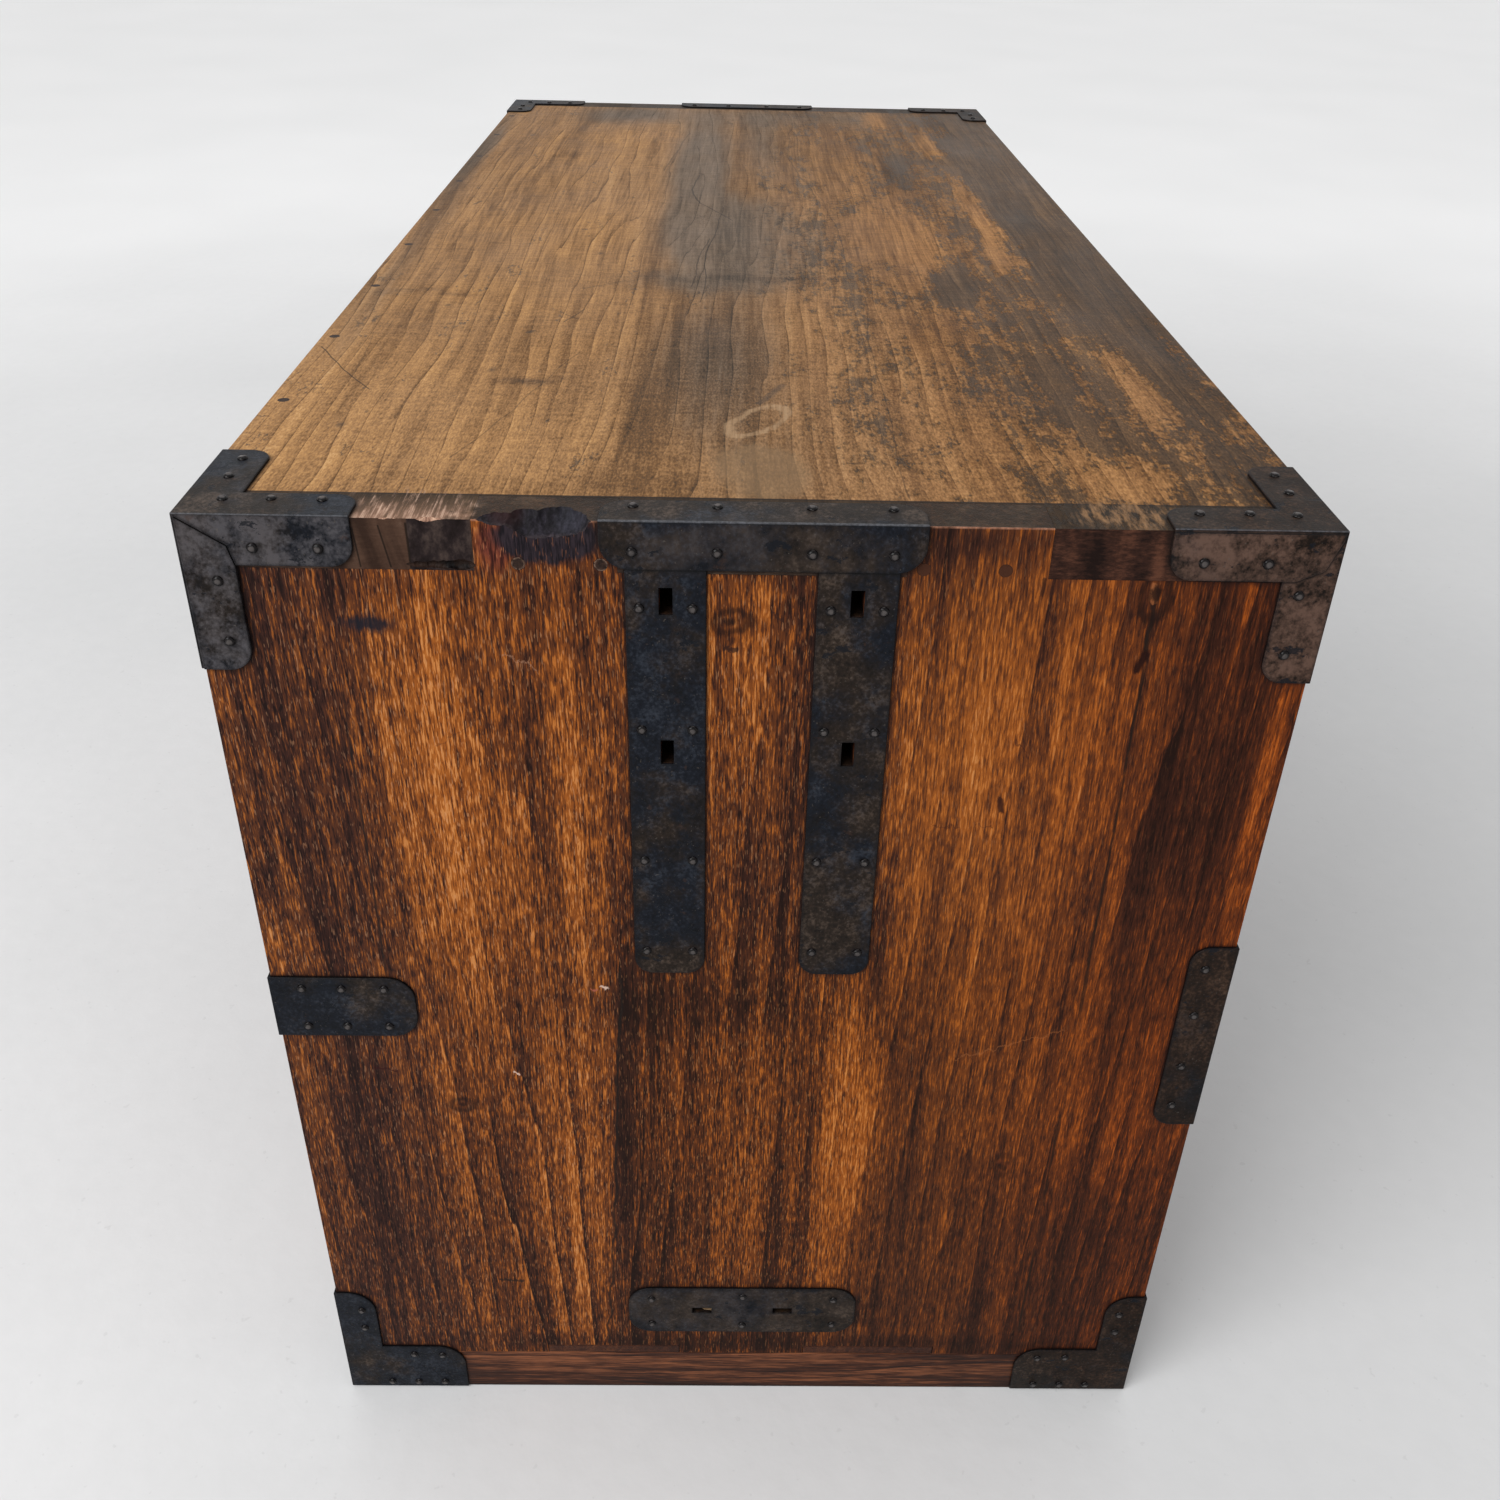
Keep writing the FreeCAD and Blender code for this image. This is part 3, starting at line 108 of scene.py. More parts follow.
def arithmetic(operation, swapped):
    """Field's method for one sign of arithmetic."""
    def method(self, other):
        values = (other, self) if swapped else (self, other)
        return self.graph.math(operation, *values)
    return method


SIGNS = {"add": "ADD", "sub": "SUBTRACT", "mul": "MULTIPLY", "truediv": "DIVIDE"}
for sign, named in SIGNS.items():
    setattr(Field, f"__{sign}__", arithmetic(named, swapped=False))
    setattr(Field, f"__r{sign}__", arithmetic(named, swapped=True))


class Graph:
    """One material's nodes. x, y and z are the place in the row's frame."""

    def __init__(self, name):
        self.material = bpy.data.materials.new(name)
        self.material.use_nodes = True
        self.tree = self.material.node_tree
        self.shader = self.tree.nodes["Principled BSDF"]
        source = self.node("TexCoord")
        self.place = source.outputs["Object"]
        self.x, self.y, self.z = self.parts(self.place)
        self.nx, self.ny, self.nz = self.parts(source.outputs["Normal"])

    def feed(self, socket, value):
        if isinstance(value, Field):
            value = value.socket
        if isinstance(value, bpy.types.NodeSocket):
            self.tree.links.new(value, socket)
        elif isinstance(value, (tuple, list)) and len(socket.default_value) == 4:
            socket.default_value = (*value[:3], 1)
        else:
            socket.default_value = value

    def node(self, kind, inputs=(), **settings):
        """A new node. Its inputs come by name, or in the order of its sockets."""
        made = self.tree.nodes.new("ShaderNode" + kind)
        for setting, value in settings.items():
            setattr(made, setting, value)
        for key, value in inputs.items() if isinstance(inputs, dict) else enumerate(inputs):
            self.feed(made.inputs[key], value)
        return made

    def parts(self, vector):
        split = self.node("SeparateXYZ", [vector])
        return [Field(self, split.outputs[i]) for i in range(3)]

    def vector(self, x, y, z):
        return self.node("CombineXYZ", [x, y, z]).outputs[0]

    def math(self, operation, *values, clamp=False):
        made = self.node("Math", values, operation=operation, use_clamp=clamp)
        return Field(self, made.outputs[0])

    def vector_math(self, operation, *values):
        made = self.node("VectorMath", values, operation=operation)
        return made.outputs["Value" if operation in ("LENGTH", "DOT_PRODUCT") else "Vector"]

    def length(self, vector):
        return Field(self, self.vector_math("LENGTH", vector))

    def moved(self, x, y, z):
        """The place, moved by so much."""
        return self.vector_math("ADD", self.place, self.vector(x, y, z))

    def step(self, value, low, high):
        falling = low > high
        limits = {
            "Value": value, "From Min": min(low, high), "From Max": max(low, high),
            "To Min": int(falling), "To Max": int(not falling),
        }
        made = self.node("MapRange", limits, interpolation_type="SMOOTHSTEP")
        return Field(self, made.outputs["Result"])

    def greater(self, one, other):
        return self.math("MAXIMUM", one, other)

    def noise(self, waves, detail, roughness=0.5, at=None, shift=0.0):
        """Noise about 0.5, with so many waves a metre all ways or along X, Y and Z.

        detail counts its finer layers, and roughness is how strong each one is beside the last.
        The shift sets one pattern apart from another.
        """
        waves = waves if isinstance(waves, tuple) else (waves, waves, waves)
        where = self.vector_math("MULTIPLY", at or self.place, waves)
        if shift:
            where = self.vector_math("ADD", where, (shift, shift * 1.7, shift * 2.3))
        inputs = {"Vector": where, "Scale": 1, "Detail": detail, "Roughness": roughness}
        return Field(self, self.node("TexNoise", inputs).outputs[0])

    def cells(self, waves, at):
        """(distance to the nearest of scattered points, a random number of its cell)."""
        where = self.vector_math("MULTIPLY", at, waves)
        made = self.node("TexVoronoi", {"Vector": where, "Scale": 1})
        return Field(self, made.outputs["Distance"]), self.parts(made.outputs["Color"])[0]

    def spot(self, centre, reach, at=None, soft=1.0):
        """1 inside an ellipsoid, falling to 0 at its half-axes. soft is the falling share."""
        gap = self.vector_math("SUBTRACT", at or self.place, centre)
        scaled = self.vector_math("MULTIPLY", gap, tuple(1 / r for r in reach))
        return self.length(scaled).step(1.0, 1.0 - soft)

    def stroke(self, start, end, width, at=None):
        """1 on a line between two points, falling to 0 at half its width from it."""
        along = Vector(end) - Vector(start)
        unit = tuple(along.normalized())
        gap = self.vector_math("SUBTRACT", at or self.place, tuple(start))
        reach = Field(self, self.vector_math("DOT_PRODUCT", gap, unit))
        reach = self.math("MINIMUM", self.greater(reach, 0.0), along.length)
        foot = self.vector_math("MULTIPLY", unit, self.vector(reach, reach, reach))
        distance = self.length(self.vector_math("SUBTRACT", gap, foot))
        return distance.step(width * 0.5, width * 0.15)

    def mix(self, share, one, other, blend="MIX"):
        made = self.node("Mix", data_type="RGBA", blend_type=blend)
        self.feed(made.inputs["Factor"], share)
        first, second = [socket for socket in made.inputs if socket.type == "RGBA"]
        self.feed(first, one)
        self.feed(second, other)
        return [socket for socket in made.outputs if socket.type == "RGBA"][0]

    def ramp(self, value, *stops):
        """A colour for each value, from stops of (value, red, green, blue)."""
        made = self.node("ValToRGB", [value])
        elements = made.color_ramp.elements
        while len(elements) < len(stops):
            elements.new(0.5)
        for element, (position, *colour) in zip(elements, stops):
            element.position = position
            element.color = (*colour, 1)
        return made.outputs["Color"]

    def paint(self, share, colour, blend="MIX"):
        """Lays a colour over the material's colour so far."""
        self.colour = self.mix(share, self.colour, colour, blend)

    def paint_shade_and_grime(self, distance, strength, shade_and_grime_colour):
        """Lays painted shade, with some grime, where other surfaces stand within that distance:
        darkness in creases and contact shadow.
        """
        open_share = self.node("AmbientOcclusion", {"Distance": distance}, samples=6).outputs["AO"]
        self.paint(((1 - Field(self, open_share)) * strength).clamped(), shade_and_grime_colour)

    def bump(self, height, distance):
        made = self.node("Bump", {"Strength": 1, "Distance": distance, "Height": height})
        return made.outputs["Normal"]

    def finish(self, roughness, normal, gloss):
        looks = {
            "Base Color": self.colour, "Roughness": roughness, "Normal": normal,
            "Metallic": 0.0, "Specular IOR Level": gloss,
        }
        for name, value in looks.items():
            self.feed(self.shader.inputs[name], value)
        return self.material


# ---- Wood ----

def along_grain(axis, across, along):
    """Waves a metre along X, Y and Z, for grain that runs along one axis."""
    waves = [across, across, across]
    waves["xyz".index(axis)] = along
    return tuple(waves)


def wandering(g, axis, waves, amount):
    """The place, moved sideways here and there, so that straight grain wanders a little."""
    stretch = along_grain(axis, waves, waves * 0.35)
    offset = g.noise(stretch, 1).swing(amount)
    moves = [offset, offset, offset]
    moves["xyz".index(axis)] = 0.0
    return g.moved(*moves)


def on_end(y, z):
    """A point of the near end's face, from millimetres across and up."""
    return (NEAR_X, y * MM, z * MM)


def on_top(x, y):
    """A point of the top's face, from millimetres along it from the near end, and across."""
    return (NEAR_X + x * MM, y * MM, TOP_Z)


# Millimetres.
FACE_DEPTH = 14       # how deep a mark goes, so that it shows on its own face alone
COMB_LINE = 23        # the scribed line of the comb joint, from either end
SEAM_Y = 71.9         # the slanting seam of the end's planks, where it would meet the floor
SEAM_SLANT = 0.0496   # how far the seam leans with height
WIDER, LONGER = 1.35, 1.3    # the tables' patches fade out, so they are drawn larger

STRIP_GREY = (0.024, 0.0155, 0.0092)
NEAR_BLACK = (0.012, 0.009, 0.008)
CRACK = (0.012, 0.008, 0.006)


def marked(g, colour, marks, on_face, at=None):
    """The colour with lines drawn on one face: knife marks, cracks and small stains."""
    for a1, b1, a2, b2, width, strength, *ink in marks:
        touch = g.stroke(on_face(a1, b1), on_face(a2, b2), width * MM, at)
        colour = g.mix(touch * strength, colour, ink[0] if ink else NEAR_BLACK)
    return colour


def top_arris(g, out, up, low, high):
    """1 on the arris between the top and an end, beyond a place out and up; millimetres."""
    return (g.x.size() - out * MM).step_mm(low, high) * (g.z - up * MM).step_mm(low, high)


def comb_strip(g, fine):
    """Paints the top's grey strip outside the comb's scribed line, worn pale in two places."""
    upward = g.nz.step(0.5, 0.8)
    outside = NEAR_X + COMB_LINE * MM
    strip = (0 - g.x.size()).step(outside + 0.4 * MM, outside - 0.4 * MM) * upward
    cloud = g.noise(50, 4, 0.65, shift=9.0)
    grey = g.ramp(
        cloud * 0.7 + fine * 0.3,
        (0.35, 0.0115, 0.008, 0.0056), (0.52, *STRIP_GREY), (0.7, 0.072, 0.046, 0.028))
    g.paint(strip * 0.93, grey)
    line = (g.x.size() + outside).size().step_mm(0.9, 0.3) * upward
    g.paint(line * 0.85, NEAR_BLACK)
    place = g.moved(0.0, cloud.swing(50 * MM), 0.0)
    fibres = g.noise((35, 1000, 1000), 3, 0.7, shift=5.0)
    tufts = g.noise((70, 260, 260), 4, 0.65, shift=8.0)
    fade = (g.x - NEAR_X).step_mm(24, 1)
    worn = g.spot(on_top(6, 130), mm(26, 27, 8), place, soft=0.4)
    worn *= g.nz.step(0.1, 0.6)
    g.paint(worn * fade * 0.55, (0.2, 0.115, 0.072))
    worn *= fade * 0.85 + tufts.swing(4.0) + fibres.swing(2.6) - 0.12
    pale = g.ramp(
        fibres * 0.6 + tufts * 0.4,
        (0.36, 0.13, 0.066, 0.04), (0.5, 0.29, 0.165, 0.11), (0.64, 0.56, 0.38, 0.28))
    g.paint(worn.clamped() * 0.9, pale)
    rubbed = g.spot(on_top(14, -136), mm(20, 24, 8), place, soft=0.6) * upward
    rubbed = (rubbed * (tufts.swing(6.0) + fibres.swing(1.5) + 0.35)).clamped()
    g.paint(rubbed * 0.8, (0.3, 0.162, 0.074))


# Patches of the end board: y, z, half-width and half-height in millimetres, change of tone.
END_TONES = (
    (187, 330, 24, 230, -0.07), (182, 110, 34, 150, -0.13), (158, 300, 9, 70, 0.12),
    (128, 390, 24, 170, 0.26), (100, 360, 30, 200, 0.1), (75, 380, 14, 140, 0.13),
    (134, 150, 24, 120, 0.04), (82, 150, 26, 150, 0.18), (60, 170, 6, 190, -0.2),
    (35, 150, 26, 150, -0.09), (15, 440, 24, 80, 0.15),
    (0, 330, 30, 70, -0.08), (-50, 205, 18, 80, 0.3), (-40, 110, 20, 90, 0.1),
    (-62, 420, 14, 110, 0.25), (-88, 425, 18, 95, 0.33), (-92, 330, 30, 110, 0.08),
    (-122, 400, 26, 120, 0.13), (-100, 250, 50, 90, 0.05), (-105, 90, 55, 110, -0.03),
    (-168, 380, 22, 150, -0.18), (-195, 390, 12, 140, -0.2), (-204, 400, 5, 90, 0.28),
    (-158, 370, 9, 120, -0.08), (-175, 110, 40, 150, -0.19), (205, 315, 8, 22, 0.3),
    (27, 280, 70, 22, -0.14), (0, 65, 90, 30, -0.14), (0, 38, 200, 10, -0.2),
    (-79, 503, 27, 11, -0.18), (-172, 190, 10, 60, 0.12), (140, 485, 60, 14, -0.08),
    (22, 200, 12, 60, 0.08),
)

# Marks on it: start y, z, end y, z and width in millimetres, strength, and the colour unless it
# is nearly black.
END_MARKS = (
    (70, 38, 57, 300, 1.8, 0.8), (171, 239, 160, 238, 2.0, 0.8, (0.03, 0.006, 0.005)),
    (125, 90, 113, 89, 3.0, 0.8), (-98, 393, -99, 386, 3.4, 0.9, (0.03, 0.009, 0.006)),
    (-145, 486, -146, 462, 3.2, 0.95), (-146, 460, -144, 453, 5.0, 0.95, (0.012, 0.004, 0.004)),
    (-145, 487, -145, 482, 4.0, 0.9, (0.42, 0.16, 0.06)),
    (-149, 138, -148, 126, 6.0, 0.55, (0.035, 0.014, 0.01)),
    (-95, 248, -142, 266, 1.2, 0.35, (0.35, 0.13, 0.05)),
    (-72, 378, -84, 378, 0.8, 0.6, (0.04, 0.012, 0.008)),
    (66, 290, 64, 289, 2.4, 0.9, (0.66, 0.47, 0.38)),
    (-90, 378, -96, 378, 0.8, 0.6, (0.04, 0.012, 0.008)),
    (-101, 420, -107, 412, 0.9, 0.6, (0.04, 0.012, 0.008)),
    (108, 238, 106, 236, 1.4, 0.9, (0.66, 0.47, 0.38)),
    (70, 289, 68, 288, 1.6, 0.9, (0.35, 0.1, 0.06)),
    (14, 459.5, 9, 458.5, 2.6, 0.85, (0.02, 0.01, 0.009)),
    (-3, 474, -8, 471, 1.4, 0.7, (0.03, 0.012, 0.009)),
    (-122, 180, -128, 176, 5.0, 0.35, (0.28, 0.07, 0.02)),
    (-104.6, 491, -103.6, 484, 2.2, 0.75, (0.02, 0.008, 0.006)),
    (126, 414, 108, 428, 0.7, 0.4, (0.05, 0.02, 0.014)),
    (98, 456, 84, 449, 0.7, 0.4, (0.42, 0.22, 0.13)),
)

# Its knots: y, z, half-width and half-height in millimetres, strength.
END_KNOTS = (
    (133, 216, 7, 5, 0.75), (11, 470.5, 8.5, 5.5, 0.8), (-146, 484, 6, 11, 0.9),
    (-125, 178, 6, 8, 0.5),
)


def end_wood():
    """The end boards: reddish brown, upright, its open grain full of short bright fibres."""
    g = Graph("reddish_end_wood")
    at = wandering(g, "z", 8, 10 * MM)
    broad = g.noise((30, 30, 2.0), 3, at=at)
    streak = g.noise((120, 120, 4.5), 3, 0.6, at)
    fine = g.noise((430, 430, 11), 3, 0.6, at)
    hair = g.noise((1350, 1350, 140), 2, 0.55, at)
    thread = g.noise((420, 420, 9), 3, 0.65, at, shift=2.0)
    column = g.noise((80, 80, 1.4), 2, at=at, shift=4.0)
    mottle = g.noise((26, 26, 12), 4, 0.6)
    blotch = g.noise((150, 150, 75), 5, 0.7, at)

    tone = broad.swing(0.34) + mottle.swing(0.24) + 0.335
    calm = 1 - g.y.step_mm(-15, -85) * 0.7 - g.y.step_mm(-100, -135) * 0.06
    tone += (column.step(0.4, 0.6) - 0.5) * calm * 0.11
    for y, z, half_width, half_height, change in END_TONES:
        reach = mm(FACE_DEPTH, half_width * WIDER, half_height * LONGER)
        tone += g.spot(on_end(y, z), reach, at) * change

    # Each yearly ring pales from dark to a thin bright line. They show most in the lower half.
    lean = g.y.step_mm(20, 120) * 0.15 - 0.07
    rings = (broad.swing(30 * MM) - g.parts(at)[1] + g.z * lean) / (15 * MM)
    ring = rings.saw()
    ringed = g.spot(on_end(98, 120), mm(FACE_DEPTH, 80, 190))
    depth = 0.11 + ringed * 0.2 + mottle.swing(0.15)
    tone += (ring - 0.5) * depth
    dark_line = ring.step(0.12, 0.03) * ring.step(0.0, 0.02)
    bright_line = ring.step(0.94, 0.975) * hair.step(0.42, 0.55)

    # Slimmer growth lines stand between the rings, each with a row of bright dashes on one side.
    slim = ((g.parts(at)[1] + broad.swing(26 * MM) + g.z * 0.02) / (5.6 * MM)).saw()
    slim_share = blotch.gate(1.4, 0.5)
    tone += (slim - 0.55) * slim_share * calm * 0.1

    # Low down, the wood is paler on one side of the slanting seam between two planks.
    aside = g.y + g.z * SEAM_SLANT - SEAM_Y * MM
    change = (aside.step_mm(-1.2, 1.2) - 0.5) * aside.size().step_mm(45, 5)
    tone += change * g.z.step_mm(325, 285) * 0.16

    tone -= g.ny.size().step(0.5, 0.8) * 0.16
    open_grain = (0.34 + (tone - 0.3) * 1.4).clamped()
    tone += streak.swing(0.5) + fine.swing(0.58) + blotch.swing(0.36)
    dash = (hair + (tone - 0.45) * 0.1 + slim.step(0.75, 0.98) * 0.03).step(0.585, 0.62)
    gap = hair.step(0.43, 0.4)
    tone -= (thread - 0.5).size().step(0.022, 0.004) * streak.step(0.35, 0.6) * (calm * 0.16)
    dashes = dash * (0.16 + open_grain * 0.16) - gap * 0.15 + hair.swing(0.3 + open_grain * 0.55)
    tone += dashes * (calm * 0.5 + 0.5)
    tone += bright_line * depth * 0.75 - dark_line * depth * 0.55

    g.colour = g.ramp(
        tone,
        (0.0, 0.014, 0.006, 0.0045), (0.2, 0.043, 0.015, 0.009),
        (0.42, 0.128, 0.037, 0.0105), (0.62, 0.29, 0.081, 0.0135),
        (0.82, 0.42, 0.13, 0.023), (1.0, 0.54, 0.21, 0.06),
    )
    glint = g.noise((1500, 1500, 210), 1, at=at, shift=5.0).step(0.635, 0.69)
    g.paint(glint * (0.12 + open_grain * 0.42) * calm, (0.58, 0.27, 0.12))

    for seam, low in ((160, 310), (-147, 20)):
        split = (g.y + streak.swing(5 * MM) - seam * MM).size().step_mm(1.0, 0.2)
        broken = g.noise((8, 8, 14), 2, shift=seam * 0.1).step(0.4, 0.55)
        stretch = g.z.step((low - 30) * MM, low * MM)
        g.paint(split * broken * stretch * 0.85, NEAR_BLACK)

    shaky = g.moved(0.0, g.noise(60, 3).swing(6 * MM), blotch.swing(12 * MM))
    g.colour = marked(g, g.colour, END_MARKS, on_end, shaky)

    for y, z, half_width, half_height, strength in END_KNOTS:
        gap = g.vector_math("SUBTRACT", g.place, on_end(y, z))
        reach = mm(FACE_DEPTH, half_width, half_height)
        far = g.length(g.vector_math("DIVIDE", gap, reach)) + blotch.swing(1.2) + fine.swing(0.4)
        rind = (far - 0.82).size().step(0.38, 0.06) * 0.9
        core = far.step(0.48, 0.2)
        g.paint(far.step(1.7, 0.7) * strength * 0.35, (0.035, 0.013, 0.009))
        g.paint((rind * 0.9 + core).clamped() * strength, (0.012, 0.006, 0.005))

    # A blue-black smear, and the stained wood below the break in the comb joint's finger.
    smear = g.spot(on_end(146, 467.5), mm(FACE_DEPTH, 15, 5), shaky)
    smear = (smear * (fine.swing(1.6) + 1.5)).clamped()
    g.paint(smear * 0.93, (0.011, 0.011, 0.015))
    raw = g.spot(on_end(98, 500), mm(FACE_DEPTH, 8, 15), shaky, soft=0.6)
    raw_colour = g.ramp(hair, (0.42, 0.034, 0.0085, 0.007), (0.58, 0.14, 0.034, 0.022))
    g.paint(raw * 0.9, raw_colour)
    stained = g.spot(on_end(78, 503), mm(FACE_DEPTH, 23, 12), shaky, soft=0.35)
    stain_colour = g.ramp(hair, (0.4, 0.0085, 0.0066, 0.009), (0.6, 0.028, 0.02, 0.025))
    g.paint((stained * (fine.swing(1.4) + 1.25)).clamped(), stain_colour)
    g.paint((stained * 0.2 + raw * 0.6).clamped() * glint, (0.42, 0.16, 0.07))

    # Towards the front the wood is redder, at the back it is more purple, and low down between
    # them it is more golden.
    tints = (
        (g.y.step_mm(-80, -200), (1.0, 0.78, 0.6)),
        (g.y.step_mm(118, 168), (0.98, 1.04, 1.2)),
        (g.y.step_mm(70, 40) * g.z.step_mm(350, 280), (1.02, 0.97, 0.82)),
    )
    for share, tint in tints:
        g.paint(share, tint, "MULTIPLY")

    comb_strip(g, fine)
    arris = top_arris(g, 474.2, 509.2, 0, 0.5)
    g.paint(arris * fine.gate(1.6, 0.45), (0.42, 0.2, 0.125))
    # Painted shade, with some grime, in creases and beside the irons.
    g.paint_shade_and_grime(3.5 * MM, 2.2, (0.009, 0.006, 0.006))

    relief = fine * 0.5 + hair * 0.6 + streak * 0.4 + ring * depth * 0.6
    normal = g.bump(relief, 0.35 * MM)
    roughness = 0.46 + mottle.swing(0.3) - tone * 0.06
    return g.finish(roughness, normal, gloss=0.06)


# Patches of the top: x from the near end, y, half-length and half-width in millimetres, and the
# change of tone, of stain and of coat.
TOP_PATCHES = (
    (110, 150, 120, 66, 0.12, -0.3, 0), (60, 95, 60, 45, 0.1, -0.1, 0),
    (290, 120, 110, 70, 0.05, -0.3, 0), (440, 135, 130, 60, 0.05, -0.3, 0),
    (715, 135, 110, 52, 0.01, -0.4, 0), (775, 90, 32, 36, 0.06, -0.4, 0),
    (885, 105, 62, 50, -0.12, 0.6, 0), (430, 200, 250, 9, -0.1, 0.2, 0),
    (700, 205, 200, 8, -0.16, 0.5, 0), (435, 8, 135, 52, -0.04, 1.0, 0),
    (660, 35, 280, 26, -0.03, 0.8, 0), (760, -10, 190, 18, -0.04, 0.35, 0),
    (190, 22, 130, 36, -0.24, 0.35, 0), (225, -26, 110, 20, 0, -0.1, -0.06),
    (90, 50, 80, 9, -0.14, 0.1, 0), (440, -92, 110, 34, 0, -0.5, -0.3),
    (700, -66, 190, 22, 0.04, -0.3, -0.1), (660, -112, 100, 10, -0.12, 0.3, 0.1),
    (880, -112, 55, 14, 0.1, -0.4, -0.2), (335, -113, 52, 17, -0.1, 0.2, 0.42),
    (50, -140, 30, 22, -0.04, -0.3, -0.34), (100, -90, 75, 28, -0.02, -0.1, -0.1),
    (170, -120, 90, 34, 0, 0, 0.12), (200, -150, 90, 18, 0, 0, 0.02),
    (240, -92, 46, 30, -0.1, -0.3, -0.1), (55, -2, 46, 26, -0.12, 0.1, 0),
    (500, -150, 130, 10, 0.06, -0.5, -0.34), (400, -143, 40, 7, 0.04, -0.4, -0.3),
    (770, -145, 62, 8, 0.12, -0.4, -0.3), (520, -190, 500, 24, -0.04, 0.1, 0.5),
    (640, -165, 380, 12, -0.04, 0.1, 0.2), (150, -174, 90, 14, -0.02, 0, -0.34),
    (890, -60, 62, 150, 0.03, 0.4, 0), (156, 105, 8, 20, -0.22, 0.3, 0),
    (306, 165, 8, 40, -0.14, 0.2, 0), (338, -5, 10, 80, -0.14, 0.1, 0),
    (700, 135, 14, 12, -0.16, 0.3, 0), (330, 40, 30, 60, -0.1, 0.3, 0),
    (40, -40, 22, 60, 0.02, 0, -0.1), (30, 60, 14, 120, -0.08, 0, 0),
)

# Scratches on it: start x, y, end x, y and width in millimetres, strength, and the colour unless
# it is nearly black.
TOP_SCRATCHES = (
    (140, 172, 200, 208, 1.1, 0.75), (290, 27, 420, 26, 0.9, 0.65), (420, 26, 520, 18, 0.8, 0.55),
    (482, 12, 532, 34, 1.4, 0.6), (340, -52, 480, -53, 1.1, 0.5), (480, -53, 620, -38, 1.0, 0.4),
    (25, -57, 305, -57, 1.0, 0.45), (312, 92, 330, 70, 1.2, 0.6), (316, 84, 335, 60, 1.0, 0.5),
    (248, 97, 272, 88, 1.2, 0.6), (252, 88, 262, 98, 1.0, 0.5),
    (229, 113, 232, 111, 4.0, 0.7, (0.05, 0.035, 0.025)),
    (515, 182, 525, 178, 3.0, 0.6, (0.05, 0.035, 0.025)),
    (130, 0, 155, -10, 5.0, 0.5, (0.05, 0.038, 0.03)), (30, -190, 850, -192, 1.0, 0.6),
    (60, -202, 900, -203, 0.8, 0.5), (160, 182, 225, 186, 0.8, 0.35),
    (180, -70, 196, -78, 2.0, 0.5), (532, 34, 576, 41, 1.5, 0.65), (576, 41, 626, 37, 1.4, 0.55),
    (320, 34, 432, 27, 1.1, 0.55), (640, 62, 800, 48, 1.8, 0.4), (560, -42, 700, -30, 1.6, 0.4),
    (700, -30, 860, -38, 1.8, 0.35), (60, 120, 150, 96, 1.0, 0.45), (150, 96, 200, 84, 0.9, 0.4),
)


